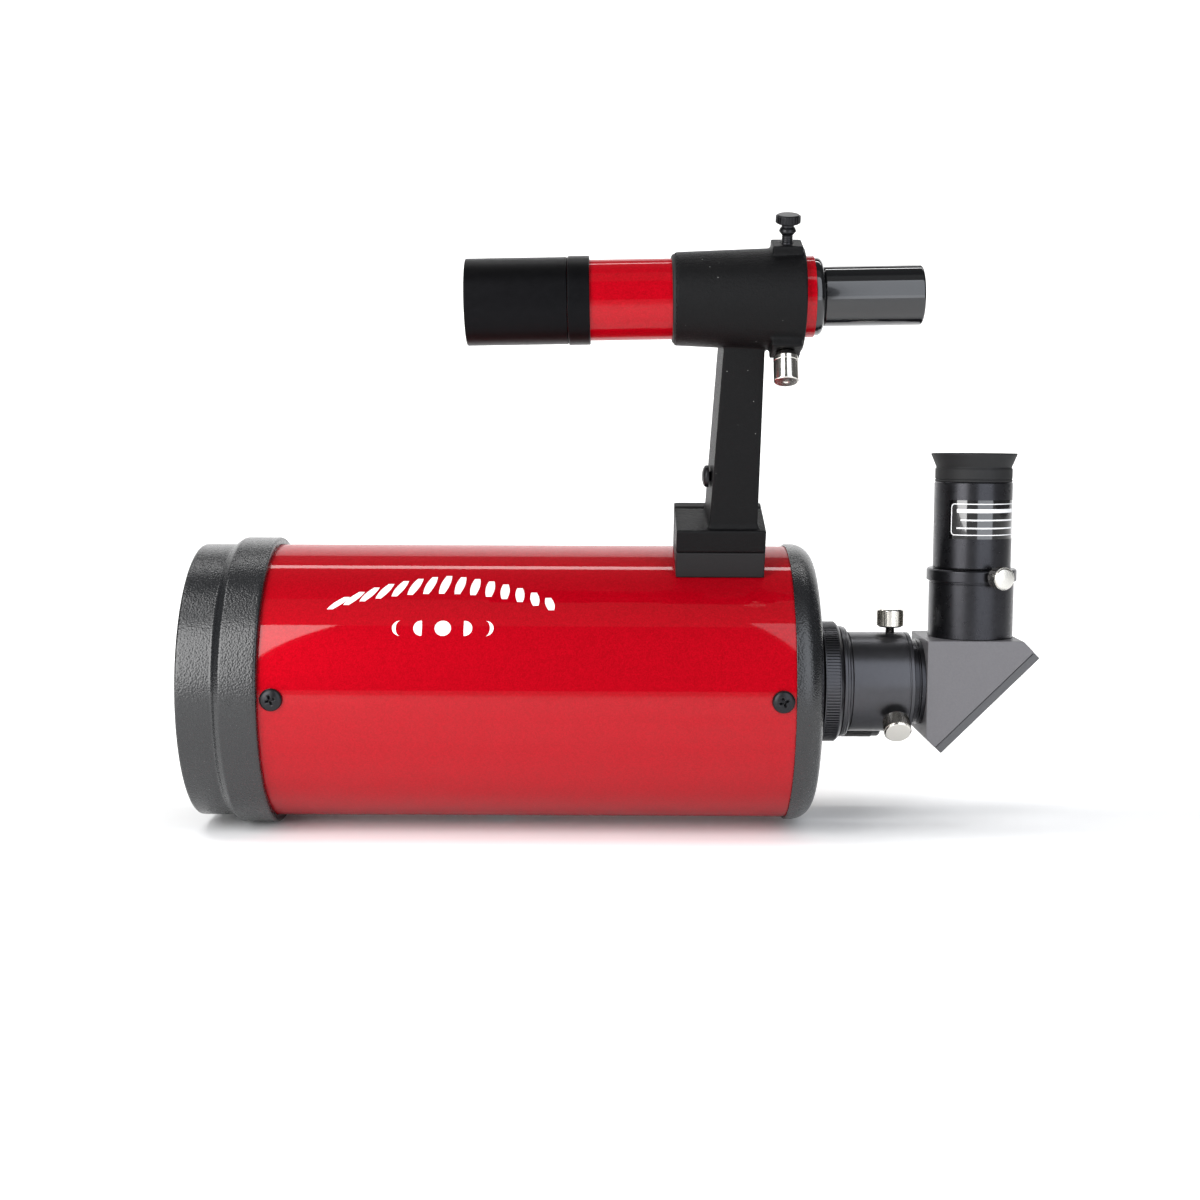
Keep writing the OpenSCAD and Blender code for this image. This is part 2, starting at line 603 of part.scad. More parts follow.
module finder_bracket() color([0.12, 0.12, 0.12]) difference() {
    union() {
        leaning() {
            translate([shoe_x[0], foot_y[0], shoe_top + 0.1])
                cube([shoe_x[1] - shoe_x[0], foot_y[1] - foot_y[0], foot_top - shoe_top - 0.1]);
            translate([shoe_x[0], 0, 0]) rotate([90, 0, 90])
                linear_extrude(shoe_x[1] - shoe_x[0]) polygon([
                    [tongue_low[0], slot_floor + 0.1], [tongue_low[1], slot_floor + 0.1],
                    [tongue_high[1], shoe_top + 0.2], [tongue_high[0], shoe_top + 0.2]]);
            hull() {
                stem_section(foot_top - 0.2, [87.8, 107.5], -13.5, 6);
                stem_section(160, [91.8, 107.5], -9.8, 9);
            }
            hull() {
                stem_section(foot_top - 0.2, [87.8, 107.5], -13.5, 6, 0.7);
                stem_section(79.5, [87.9, 107.5], -13.4, 6.1);
            }
        }
        ring_frame() {
            rotate([0, 90, 0]) rotate_extrude($fn = 96) polygon([
                [0, bracket_x[0]], [bracket_r[0] - 0.3, bracket_x[0]], [bracket_r[0], bracket_x[0] + 0.3],
                [bracket_r[1], bracket_x[1] - 0.4], [bracket_r[1] - 0.4, bracket_x[1]], [0, bracket_x[1]]]);
            for (turn = [align_top_turn, align_side_turn, plunger_turn]) screw_boss(turn);
        }
    }
    ring_frame() {
        rotate([0, 90, 0]) rotate_extrude($fn = 96) polygon([
            [0, bracket_x[0] - 1], [17.5, bracket_x[0] - 1], [17.5, o_ring_recess],
            [bracket_bore[0], o_ring_recess], [bracket_bore[1], bracket_x[1] + 1],
            [0, bracket_x[1] + 1]]);
        for (turn = [align_top_turn, align_side_turn])
            rotate([turn, 0, 0]) translate([align_x, 0, 0]) rod(align_shank_r + fit, 10, 25);
        rotate([plunger_turn, 0, 0]) translate([align_x, 0, 0]) rod(plunger_thread_r + fit, 10, 25);
    }
    leaning() translate([0, -3, 96.4]) rotate([0, 90, 0]) rod(1.9, 80, 100);
}

module stem_screw() color([0.15, 0.15, 0.15])
    leaning() translate([0, -3, 96.4]) rotate([0, 90, 0]) mirror([0, 0, 1])
        pan_screw(4.5, 2.8, 1.85, -98, -87.6);

module finder_o_ring() color([0.25, 0.25, 0.25]) finder_turned(concat(
    [[finder_r + fit, 71.2], [16.6, 70.9]], arc([16.5, 71.8], 0.9, -90, 0, 3),
    arc([16.5, 72.5], 0.9, 0, 90, 3), [[finder_r + fit, 73.1]]));

// ---- Finder ----

module finder_tube() color([0.72, 0.04, 0.09])
    finder_pipe(finder_tube_front, finder_tube_rear, finder_r, finder_r - 1.1);

module finder_hood() color([0.06, 0.06, 0.06]) finder_turned(
    [[15.6, finder_front], [hood_r - 0.4, finder_front], [hood_r, finder_front + 0.4],
     [hood_r, hood_band], [finder_r + fit, hood_band], [finder_r + fit, 9.5], [14.6, 9.5],
     [14.6, 8], [15.6, 8]]);

module finder_objective() color([0.75, 0.9, 0.95, 0.4]) finder_turned(concat(
    [for (i = [0:8]) let (r = 15.3 * i / 8) [r, 0.6 + sag(85, r)]], [[15.3, 7.9], [0, 7.9]]));

module finder_objective_retainer() color([0.06, 0.06, 0.06])
    finder_pipe(-1, 1.75, 15.55, 14.3);

module finder_lock_ring() color([0.08, 0.08, 0.08]) finder_turned(
    [[finder_r + fit, hood_band + 0.1], [lock_band_r - 0.3, hood_band + 0.1],
     [lock_band_r, hood_band + 0.4], [lock_band_r, lock_band - 0.3],
     [lock_band_r - 0.3, lock_band], [finder_r + fit, lock_band]]);

module finder_end_ring() color([0.06, 0.06, 0.06]) finder_turned(concat(
    [[10.3, 116], [finder_r - 1.15, 116], [finder_r - 1.15, finder_tube_rear + 0.02],
     [15.2, finder_tube_rear + 0.02]],
    arc([12.8, end_ring_rear - 2.4], 2.4, 0, 90, 5), [[10.3, end_ring_rear]]));

module finder_eyepiece() color([0.05, 0.05, 0.05]) finder_turned(concat(
    [[9.2, 117], [10.25, 117], [10.25, end_ring_rear + 0.1], [ocular_r - 0.6, end_ring_rear + 0.1],
     [ocular_r, end_ring_rear + 0.7]],
    arc([ocular_r - 1, finder_rear - 1], 1, 0, 90, 4),
    [[9, finder_rear], [7.6, finder_rear - 2.5], [7.6, finder_rear - 5], [9.2, finder_rear - 5]]));

module finder_eye_lens() color([0.75, 0.9, 0.95, 0.4]) finder_turned(
    [[0, 158.6], [9.15, 160], [9.15, 163.6], [0, 164.9]]);

module crosshair_ring() color([0.3, 0.3, 0.3]) finder_frame() {
    rotate([0, 90, 0]) rotate_extrude($fn = 64) polygon([[7.5, 132], [9.15, 132], [9.15, 134], [7.5, 134]]);
    translate([132.6, -7.8, -0.1]) cube([0.2, 15.6, 0.2]);
    translate([132.6, -0.1, -7.8]) cube([0.2, 0.2, 15.6]);
}

// Long alignment screw with a bead below its knob
module align_screw(turn, tip) color([0.08, 0.08, 0.08])
    ring_frame() rotate([turn, 0, 0]) translate([align_x, 0, 0]) rotate_extrude($fn = 48) polygon([
        [0, tip], [align_shank_r, tip], [align_shank_r, 25.6], [3.4, 27.3], [2.4, 28.9],
        [2.4, 29.9], [4.5, 29.9], [4.85, 30.3], [4.85, 33], [4.5, 33.4], [0, 33.4]]);

module align_screw_top() align_screw(align_top_turn, finder_r + align_shift + 0.15);
module align_screw_side() align_screw(align_side_turn, finder_r + 0.15);

// Frame of the sprung plunger
module on_plunger()
    ring_frame() rotate([plunger_turn, 0, 0]) translate([align_x, 0, 0]) children();

module plunger_housing() color([0.82, 0.82, 0.84]) on_plunger() rotate_extrude($fn = 64) polygon([
    [1.95, 18.6], [plunger_thread_r, 18.6], [plunger_thread_r, boss_top + 0.1], [3.4, boss_top + 0.1],
    [4.85, 24.9], [4.85, 34.6], [4.5, 35], [1.1, 35], [0.8, 34.6], [0, 34.6], [0, 31],
    [2.5, 31], [2.5, 20.4], [1.95, 20.4]]);

module plunger_pin() color([0.7, 0.7, 0.72]) on_plunger() rotate_extrude($fn = 48) polygon([
    [0, 16.2], [1.3, 16.3], [1.9, 16.9], [1.9, 20.5], [2.44, 20.5], [2.44, 22.2], [0, 22.2]]);

module plunger_spring() color([0.6, 0.6, 0.6]) on_plunger() coil(1.95, 0.35, 24.1, 30.5, 6);

main_tube();
front_cell();
corrector_gasket();
corrector_lens();
corrector_retainer();
secondary_spot();
secondary_baffle();
front_cell_screws();
rear_cell();
rear_cell_screws();
baffle_tube();
baffle_screws();
focus_bush();
mount_block();
mount_block_screws();
mirror_carriage();
primary_mirror();
mirror_retainer();
focus_bolt();
focus_knob();
focus_sleeve();
lock_ring();
visual_back();
back_screw_top();
back_screw_side();
diagonal_nosepiece();
diagonal_body();
diagonal_mirror();
diagonal_cover();
diagonal_cover_screws();
eyepiece_holder();
holder_screw();
eyepiece_barrel();
eyepiece_sleeve();
eye_lens();
field_lens();
field_stop();
eyecup();
finder_shoe();
finder_shoe_screws();
shoe_clamp_screw();
finder_bracket();
stem_screw();
finder_o_ring();
finder_tube();
finder_hood();
finder_objective();
finder_objective_retainer();
finder_lock_ring();
finder_end_ring();
finder_eyepiece();
finder_eye_lens();
crosshair_ring();
align_screw_top();
align_screw_side();
plunger_housing();
plunger_pin();
plunger_spring();
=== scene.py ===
from math import cos, hypot, pi, radians, sin, sqrt, tan

import bmesh
import bpy
from mathutils import Matrix, Vector


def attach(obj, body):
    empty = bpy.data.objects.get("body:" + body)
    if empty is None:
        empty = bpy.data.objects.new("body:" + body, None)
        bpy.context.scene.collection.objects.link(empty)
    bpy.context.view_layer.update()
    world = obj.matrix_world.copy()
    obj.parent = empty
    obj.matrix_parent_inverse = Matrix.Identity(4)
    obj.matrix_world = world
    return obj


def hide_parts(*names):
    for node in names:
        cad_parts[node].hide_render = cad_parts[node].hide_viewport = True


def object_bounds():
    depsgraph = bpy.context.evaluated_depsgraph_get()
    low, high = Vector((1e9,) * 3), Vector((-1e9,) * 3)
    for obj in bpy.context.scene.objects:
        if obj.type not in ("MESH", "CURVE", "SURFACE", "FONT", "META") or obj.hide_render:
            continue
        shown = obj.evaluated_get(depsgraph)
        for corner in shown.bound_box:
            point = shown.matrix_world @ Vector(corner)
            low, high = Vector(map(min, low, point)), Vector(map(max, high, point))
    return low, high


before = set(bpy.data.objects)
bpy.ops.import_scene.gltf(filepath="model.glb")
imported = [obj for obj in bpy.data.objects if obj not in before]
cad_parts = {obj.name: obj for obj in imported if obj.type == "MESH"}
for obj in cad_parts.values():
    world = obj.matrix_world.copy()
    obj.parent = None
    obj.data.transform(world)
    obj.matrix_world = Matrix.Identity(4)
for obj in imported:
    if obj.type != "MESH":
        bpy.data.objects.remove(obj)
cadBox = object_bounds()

print("frame loaded,", len(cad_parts), "nodes")

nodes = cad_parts
mm = 0.001  # everything below is in millimetres until a mesh is put in place

axisHeight = 58.5
foldX = 203.7
lean = radians(20)
finderHeight = 169.6
finderTilt = radians(1.2)
pivotX = 72.2
alignX = 115.1

opticalCentre = Matrix.Translation((0, 0, axisHeight))
opticalAxis = opticalCentre @ Matrix.Rotation(pi / 2, 4, "Y")
eyepieceAxis = Matrix.Translation((foldX, 0, axisHeight))
leaning = opticalCentre @ Matrix.Rotation(lean, 4, "X")
ringFrame = leaning @ Matrix.Translation((0, 0, finderHeight))
finderFrame = (ringFrame @ Matrix.Translation((pivotX, 0, 0)) @ Matrix.Rotation(-finderTilt, 4, "Y")
               @ Matrix.Translation((-pivotX, 0, 0)))
finderAxis = finderFrame @ Matrix.Rotation(pi / 2, 4, "Y")
focusAxis = opticalCentre @ Matrix.Translation((0, 35, -19.5)) @ Matrix.Rotation(pi / 2, 4, "Y")
holderScrewAxis = (Matrix.Translation((foldX, 0, axisHeight + 47)) @ Matrix.Rotation(radians(18), 4, "Z")
                   @ Matrix.Rotation(pi / 2, 4, "X"))
clampAxis = leaning @ Matrix.Translation((92.8, 0, 72.6)) @ Matrix.Rotation(-pi / 2, 4, "X")
stemScrewAxis = leaning @ Matrix.Translation((0, -3, 96.4)) @ Matrix.Rotation(-pi / 2, 4, "Y")


def onRadius(base, x, turn):
    # Z points out from the axis at that angle, 0 is up and 90 the near side
    return base @ Matrix.Translation((x, 0, 0)) @ Matrix.Rotation(radians(turn), 4, "X")


def linear(hexColour):
    rgb = [int(hexColour[i:i + 2], 16) / 255 for i in (1, 3, 5)]
    return tuple(c / 12.92 if c <= 0.04045 else ((c + 0.055) / 1.055) ** 2.4 for c in rgb) + (1.0,)


def addNode(tree, kind, settings=None, values=None, links=None):
    node = tree.nodes.new(kind)
    for name, value in (settings or {}).items():
        setattr(node, name, value)
    for socket, value in (values or {}).items():
        node.inputs[socket].default_value = value
    for socket, source in (links or {}).items():
        tree.links.new(source, node.inputs[socket])
    return node


def newFinish(name, colour, roughness, metallic=0.0, more=None):
    material = bpy.data.materials.new(name)
    material.use_nodes = True
    tree = material.node_tree
    tree.nodes.clear()
    shader = addNode(tree, "ShaderNodeBsdfPrincipled", values={
        "Base Color": linear(colour), "Roughness": roughness, "Metallic": metallic, **(more or {})})
    addNode(tree, "ShaderNodeOutputMaterial", links={"Surface": shader.outputs["BSDF"]})
    return material, tree, shader


def objectPlace(tree):
    return addNode(tree, "ShaderNodeTexCoord").outputs["Object"]


def perMetre(sizeMm):
    return 1000 / sizeMm  # texture scale whose cells are that many millimetres across


def varyColour(tree, shader, factor, dark, light):
    mix = addNode(tree, "ShaderNodeMix", {"data_type": "RGBA"}, links={0: factor})
    mix.inputs[6].default_value = linear(dark)
    mix.inputs[7].default_value = linear(light)
    tree.links.new(mix.outputs[2], shader.inputs["Base Color"])


def varyRoughness(tree, shader, factor, low, high):
    span = addNode(tree, "ShaderNodeMapRange", values={"To Min": low, "To Max": high},
                   links={"Value": factor})
    tree.links.new(span.outputs["Result"], shader.inputs["Roughness"])


def addBump(tree, shader, height, depthMm, strength, under=None):
    bump = addNode(tree, "ShaderNodeBump", values={"Strength": strength, "Distance": depthMm * mm},
                   links={"Height": height})
    if under:
        tree.links.new(under.outputs["Normal"], bump.inputs["Normal"])
    tree.links.new(bump.outputs["Normal"], shader.inputs["Normal"])
    return bump


def turningLines(tree, spacingMm):
    # lines round a turned part, read from the length along its outline
    along = addNode(tree, "ShaderNodeUVMap", {"uv_map": "turning"})
    return addNode(tree, "ShaderNodeTexWave", {"bands_direction": "Y"}, values={
        "Scale": 2 * pi / 20 * perMetre(spacingMm), "Distortion": 0.15, "Detail": 1.0, "Detail Scale": 0.3},
        links={"Vector": along.outputs["UV"]}).outputs["Fac"]


def candyRedLacquer():
    # Aluminium tube under silver flake, transparent red and a clear coat: deep red that turns
    # pale at glancing angles. Flakes of 0.1 mm are too fine to show, so they are drawn at 0.5 mm.
    material, tree, shader = newFinish("candy red lacquer", "#9E0210", 0.4, 0.3, {
        "Coat Weight": 0.55, "Coat Roughness": 0.03, "Coat IOR": 1.5, "Specular IOR Level": 0.0})
    place = objectPlace(tree)
    flakes = addNode(tree, "ShaderNodeTexVoronoi", values={"Scale": perMetre(0.5)}, links={"Vector": place})
    varyColour(tree, shader, flakes.outputs["Color"], "#90010D", "#AC0215")
    cloud = addNode(tree, "ShaderNodeTexNoise", values={"Scale": perMetre(14), "Detail": 3.0},
                    links={"Vector": place})
    varyRoughness(tree, shader, cloud.outputs["Fac"], 0.36, 0.48)
    addBump(tree, shader, flakes.outputs["Distance"], 0.02, 0.06)
    return material


def leatherGrainAbs():
    # Injection-moulded ABS from an etched mould: pebbles about 0.7 mm across that break up the gloss.
    material, tree, shader = newFinish("leather grain ABS", "#141517", 0.26, 0.0,
                                       {"Specular IOR Level": 0.62})
    place = objectPlace(tree)
    wander = addNode(tree, "ShaderNodeTexNoise", values={"Scale": perMetre(1.2), "Detail": 2.0},
                     links={"Vector": place})
    moved = addNode(tree, "ShaderNodeVectorMath", {"operation": "MULTIPLY_ADD"},
                    values={1: (0.0004, 0.0004, 0.0004)}, links={0: wander.outputs["Color"], 2: place})
    pebbles = addNode(tree, "ShaderNodeTexVoronoi", {"feature": "SMOOTH_F1"},
                      values={"Scale": perMetre(0.75), "Smoothness": 0.6},
                      links={"Vector": moved.outputs["Vector"]})
    varyRoughness(tree, shader, pebbles.outputs["Distance"], 0.2, 0.32)
    varyColour(tree, shader, wander.outputs["Fac"], "#101113", "#1A1B1D")
    addBump(tree, shader, pebbles.outputs["Distance"], 0.14, 0.6)
    return material


def castCrinklePaint():
    # Die-cast aluminium in black texture paint: a 1 mm crinkle with a few bright specks.
    material, tree, shader = newFinish("black texture paint on casting", "#060607", 0.4, 0.0, {
        "Specular IOR Level": 0.14})
    place = objectPlace(tree)
    peel = addNode(tree, "ShaderNodeTexNoise", values={"Scale": perMetre(1.1), "Detail": 5.0,
                                                       "Roughness": 0.7},
                   links={"Vector": place})
    dust = addNode(tree, "ShaderNodeTexVoronoi", values={"Scale": perMetre(5.0)}, links={"Vector": place})
    speck = addNode(tree, "ShaderNodeMapRange", values={"From Min": 0.02, "From Max": 0.045, "To Min": 1.0,
                                                        "To Max": 0.0},
                                                        links={"Value": dust.outputs["Distance"]})
    varyColour(tree, shader, speck.outputs["Result"], "#070708", "#8E8E8C")
    varyRoughness(tree, shader, peel.outputs["Fac"], 0.34, 0.52)
    addBump(tree, shader, peel.outputs["Fac"], 0.3, 0.9)
    return material


def shoePaint():
    # The same casting paint, rubbed smoother where the shoe was fettled: a lighter, flatter black.
    material, tree, shader = newFinish("smooth black paint on shoe", "#161617", 0.5, 0.0,
                                       {"Specular IOR Level": 0.25})
    peel = addNode(tree, "ShaderNodeTexNoise", values={"Scale": perMetre(0.7), "Detail": 4.0},
                   links={"Vector": objectPlace(tree)})
    varyColour(tree, shader, peel.outputs["Fac"], "#101011", "#1A1A1B")
    varyRoughness(tree, shader, peel.outputs["Fac"], 0.42, 0.58)
    addBump(tree, shader, peel.outputs["Fac"], 0.08, 0.35)
    return material


def blackAnodised(name, colour, light, roughness, lineMm):
    # Aluminium turned on a lathe, then dyed and sealed: fine lines round the part under a satin sheen.
    # Tool marks of 0.1 mm are too fine to show, so they are drawn wider and very shallow.
    material, tree, shader = newFinish(name, colour, roughness, 0.9)
    lines = turningLines(tree, lineMm)
    cloud = addNode(tree, "ShaderNodeTexNoise", values={"Scale": perMetre(2.5), "Detail": 4.0},
                    links={"Vector": objectPlace(tree)})
    varyColour(tree, shader, cloud.outputs["Fac"], colour, light)
    varyRoughness(tree, shader, cloud.outputs["Fac"], roughness - 0.04, roughness + 0.05)
    addBump(tree, shader, lines, 0.01, 0.18)
    return material


def nickelPlate():
    # Knurled brass under bright nickel: a warm mirror with faint turning marks on its flat ends.
    material, tree, shader = newFinish("bright nickel plate", "#D8D5CE", 0.14, 1.0)
    lines = turningLines(tree, 0.25)
    cloud = addNode(tree, "ShaderNodeTexNoise", values={"Scale": perMetre(1.5), "Detail": 3.0},
                    links={"Vector": objectPlace(tree)})
    varyRoughness(tree, shader, cloud.outputs["Fac"], 0.1, 0.24)
    addBump(tree, shader, lines, 0.01, 0.2)
    return material


def knobPlastic(name, colour, roughness):
    # Moulded ABS from a bead-blasted mould: an even fine matt surface.
    material, tree, shader = newFinish(name, colour, roughness)
    grain = addNode(tree, "ShaderNodeTexNoise", values={"Scale": perMetre(0.5), "Detail": 3.0},
                    links={"Vector": objectPlace(tree)})
    varyRoughness(tree, shader, grain.outputs["Fac"], roughness - 0.06, roughness + 0.08)
    addBump(tree, shader, grain.outputs["Fac"], 0.05, 0.3)
    return material


def sparkGrainPlastic(name, colour, light, roughness):
    # Moulded diagonal housing from a spark-eroded mould: grey-black with 0.5 mm sparkle grain.
    material, tree, shader = newFinish(name, colour, roughness)
    place = objectPlace(tree)
    grain = addNode(tree, "ShaderNodeTexNoise", values={"Scale": perMetre(0.55), "Detail": 5.0,
                                                        "Roughness": 0.7},
                    links={"Vector": place})
    varyColour(tree, shader, grain.outputs["Fac"], colour, light)
    varyRoughness(tree, shader, grain.outputs["Fac"], roughness - 0.08, roughness + 0.1)
    addBump(tree, shader, grain.outputs["Fac"], 0.09, 0.5)
    return material


def rubberBlack():
    # Moulded nitrile rubber: matt, with a faint bloom of release dust.
    material, tree, shader = newFinish("moulded black rubber", "#141415", 0.6, 0.0,
                                       {"Specular IOR Level": 0.35})
    bloom = addNode(tree, "ShaderNodeTexNoise", values={"Scale": perMetre(1.0), "Detail": 5.0},
                    links={"Vector": objectPlace(tree)})
    varyColour(tree, shader, bloom.outputs["Fac"], "#101011", "#1C1C1D")
    varyRoughness(tree, shader, bloom.outputs["Fac"], 0.54, 0.72)
    addBump(tree, shader, bloom.outputs["Fac"], 0.06, 0.35)
    return material


def glossBlack():
    # Polished styrene: near-black with sharp reflections and slight waviness from moulding.
    material, tree, shader = newFinish("polished black plastic", "#08090B", 0.08, 0.0, {
        "Coat Weight": 0.6, "Coat Roughness": 0.03})
    wave = addNode(tree, "ShaderNodeTexNoise", values={"Scale": perMetre(9), "Detail": 2.0},
                   links={"Vector": objectPlace(tree)})
    varyRoughness(tree, shader, wave.outputs["Fac"], 0.06, 0.13)
    addBump(tree, shader, wave.outputs["Fac"], 0.05, 0.15)
    return material


def oxideSteel():
    # Cold-headed steel in black oxide: a dark metal with a soft oily gloss.
    material, tree, shader = newFinish("black oxide steel", "#1D1D1F", 0.33, 0.7)
    mottling = addNode(tree, "ShaderNodeTexNoise", values={"Scale": perMetre(0.8), "Detail": 4.0},
                       links={"Vector": objectPlace(tree)})
    varyColour(tree, shader, mottling.outputs["Fac"], "#171719", "#2B2B2E")
    varyRoughness(tree, shader, mottling.outputs["Fac"], 0.26, 0.42)
    addBump(tree, shader, mottling.outputs["Fac"], 0.03, 0.25)
    return material


def plainMetal(name, colour, low, high):
    # Machined and left bare: uneven satin with fine tool marks.
    material, tree, shader = newFinish(name, colour, (low + high) / 2, 1.0)
    marks = addNode(tree, "ShaderNodeTexNoise", values={"Scale": perMetre(0.6), "Detail": 4.0},
                    links={"Vector": objectPlace(tree)})
    varyRoughness(tree, shader, marks.outputs["Fac"], low, high)
    addBump(tree, shader, marks.outputs["Fac"], 0.02, 0.25)
    return material


def baffleBlack():
    # Flocking-type optical black: almost no gloss, slightly brown.
    material, tree, shader = newFinish("flat optical black", "#0C0B0B", 0.85, 0.0,
                                       {"Specular IOR Level": 0.2})
    nap = addNode(tree, "ShaderNodeTexNoise", values={"Scale": perMetre(0.4), "Detail": 3.0},
                  links={"Vector": objectPlace(tree)})
    varyColour(tree, shader, nap.outputs["Fac"], "#0A0909", "#141211")
    addBump(tree, shader, nap.outputs["Fac"], 0.06, 0.4)
    return material


def coatedGlass():
    # Polished crown glass with a magnesium fluoride coating: clear, with a violet-green rim.
    material, tree, shader = newFinish("coated optical glass", "#F4FBF6", 0.01, 0.0, {
        "Transmission Weight": 1.0, "IOR": 1.517, "Coat Weight": 0.3, "Coat Roughness": 0.02,
        "Specular Tint": linear("#B9D6A8")})
    edge = addNode(tree, "ShaderNodeLayerWeight", values={"Blend": 0.35})
    varyColour(tree, shader, edge.outputs["Facing"], "#F6FCF4", "#D5C9EE")
    return material


def mirrorCoat():
    # Vacuum aluminium on polished glass: a full mirror with a faint blue cast.
    material, tree, shader = newFinish("vacuum aluminised glass", "#E9EDF0", 0.02, 1.0)
    haze = addNode(tree, "ShaderNodeTexNoise", values={"Scale": perMetre(20), "Detail": 2.0},
                   links={"Vector": objectPlace(tree)})
    varyRoughness(tree, shader, haze.outputs["Fac"], 0.01, 0.04)
    return material


def whiteInk():
    # Screen-printed enamel ink: warm white, half gloss, thin enough to show a little mottle.
    material, tree, shader = newFinish("white screen ink", "#ECECEC", 0.35, 0.0, {
        "Coat Weight": 0.4, "Coat Roughness": 0.08})
    mottling = addNode(tree, "ShaderNodeTexNoise", values={"Scale": perMetre(0.8), "Detail": 3.0},
                       links={"Vector": objectPlace(tree)})
    varyColour(tree, shader, mottling.outputs["Fac"], "#DCDCDC", "#F6F6F6")
    return material


def labelFilm():
    # Glossy black polyester label: flat black with a hard mirror highlight.
    material, tree, shader = newFinish("gloss label film", "#0A0A0B", 0.07, 0.0, {
        "Coat Weight": 1.0, "Coat Roughness": 0.02})
    ripple = addNode(tree, "ShaderNodeTexNoise", values={"Scale": perMetre(3), "Detail": 2.0},
                     links={"Vector": objectPlace(tree)})
    addBump(tree, shader, ripple.outputs["Fac"], 0.02, 0.4)
    return material


red = candyRedLacquer()
leather = leatherGrainAbs()
cast = castCrinklePaint()
shoeFinish = shoePaint()
anodised = blackAnodised("black anodised turning", "#303033", "#37373A", 0.28, 0.5)
mattAnodised = blackAnodised("matt black anodised hood", "#0C0C0E", "#111113", 0.42, 0.6)
satinAnodised = blackAnodised("satin anodised port", "#47474A", "#4E4E51", 0.3, 0.6)
nickel = nickelPlate()
knob = knobPlastic("moulded black knob", "#121213", 0.42)
housing = sparkGrainPlastic("spark grain housing plastic", "#515052", "#676568", 0.4)
coverPlastic = sparkGrainPlastic("smooth cover plastic", "#3F3F41", "#4C4C4E", 0.36)
rubber = rubberBlack()
gloss = glossBlack()
oxide = oxideSteel()
steel = plainMetal("bare turned steel", "#A9A9AB", 0.22, 0.36)
brass = plainMetal("turned brass", "#C9A45A", 0.2, 0.34)
aluminium = plainMetal("machined aluminium", "#A6A8AB", 0.28, 0.42)
baffle = baffleBlack()
glass = coatedGlass()
mirror = mirrorCoat()
ink = whiteInk()
film = labelFilm()
print("finishes made")


def softened(outline, rounding):
    # rounds the corners of a closed outline of (radius, height) and holds the straight runs beside them
    points = []
    count = len(outline)
    for i in range(count):
        here = Vector(outline[i][:2])
        radius = outline[i][2] if len(outline[i]) > 2 else rounding
        before = Vector(outline[i - 1][:2]) - here
        after = Vector(outline[(i + 1) % count][:2]) - here
        if before.length < 1e-6 or after.length < 1e-6:
            continue
        opening = before.angle(after)
        if radius <= 0 or here.x < 1e-6 or opening > radians(176):
            points.append(here)
            continue
        reach = min(radius / tan(opening / 2), 0.42 * before.length, 0.42 * after.length)
        radius = reach * tan(opening / 2)
        centre = here + (before.normalized() + after.normalized()).normalized() * radius / sin(opening / 2)
        start = here + before.normalized() * reach
        stop = here + after.normalized() * reach
        steps = max(2, round((pi - opening) / radians(18)))
        hold = 0.4 * reach
        if before.length > 3 * reach:
            points.append(start + before.normalized() * hold)
        first, last = start - centre, stop - centre
        sweep = first.angle(last)
        for k in range(steps + 1):
            part = k / steps
            points.append(centre + (first * sin((1 - part) * sweep) + last * sin(part * sweep)) / sin(sweep))
        if after.length > 3 * reach:
            points.append(stop + after.normalized() * hold)
    return points


def turnedMesh(outline, steps=144, rounding=0.25):
    # revolves a closed outline of (radius, height) about Z, with the length along it kept as a UV map
    loop = softened(outline, rounding)
    area = sum(a.x * b.y - b.x * a.y for a, b in zip(loop, loop[1:] + loop[:1]))
    if area < 0:
        loop.reverse()
    bm = bmesh.new()
    uv = bm.loops.layers.uv.new("turning")
    rings = [[bm.verts.new((0, 0, p.y))] if p.x < 1e-6 else
             [bm.verts.new((p.x * cos(2 * pi * k / steps), p.x * sin(2 * pi * k / steps), p.y))
              for k in range(steps)] for p in loop]
    lengths = [0.0]
    for a, b in zip(loop, loop[1:] + loop[:1]):
        lengths.append(lengths[-1] + (b - a).length)
    girth = 2 * pi * max(p.x for p in loop)
    for j, low in enumerate(rings):
        high = rings[(j + 1) % len(rings)]
        if len(low) == 1 and len(high) == 1:
            continue
        for k in range(steps):
            n = (k + 1) % steps
            corners = [(low[k % len(low)], k, j), (low[n % len(low)], k + 1, j),
                       (high[n % len(high)], k + 1, j + 1), (high[k % len(high)], k, j + 1)]
            if len(low) == 1:
                corners.pop(1)
            if len(high) == 1:
                corners.pop(2)
            face = bm.faces.new([c[0] for c in corners])
            face.smooth = True
            for loopCorner, (_, around, along) in zip(face.loops, corners):
                loopCorner[uv].uv = (girth * around / steps * mm, lengths[along] * mm)
    return bm


def sharpenEdges(bm, angle=33):
    for edge in bm.edges:
        if len(edge.link_faces) == 2:
            edge.smooth = edge.calc_face_angle(0) < radians(angle)


def toObject(name, bm, material, place=None):
    # the mesh goes to its place in metres, and the object stays at the origin
    sharpenEdges(bm)
    if place is not None:
        bm.transform(Matrix.Scale(mm, 4) @ place)
    mesh = bpy.data.meshes.new(name)
    bm.to_mesh(mesh)
    bm.free()
    mesh.materials.append(material)
    obj = bpy.data.objects.new(name, mesh)
    bpy.context.collection.objects.link(obj)
    return obj


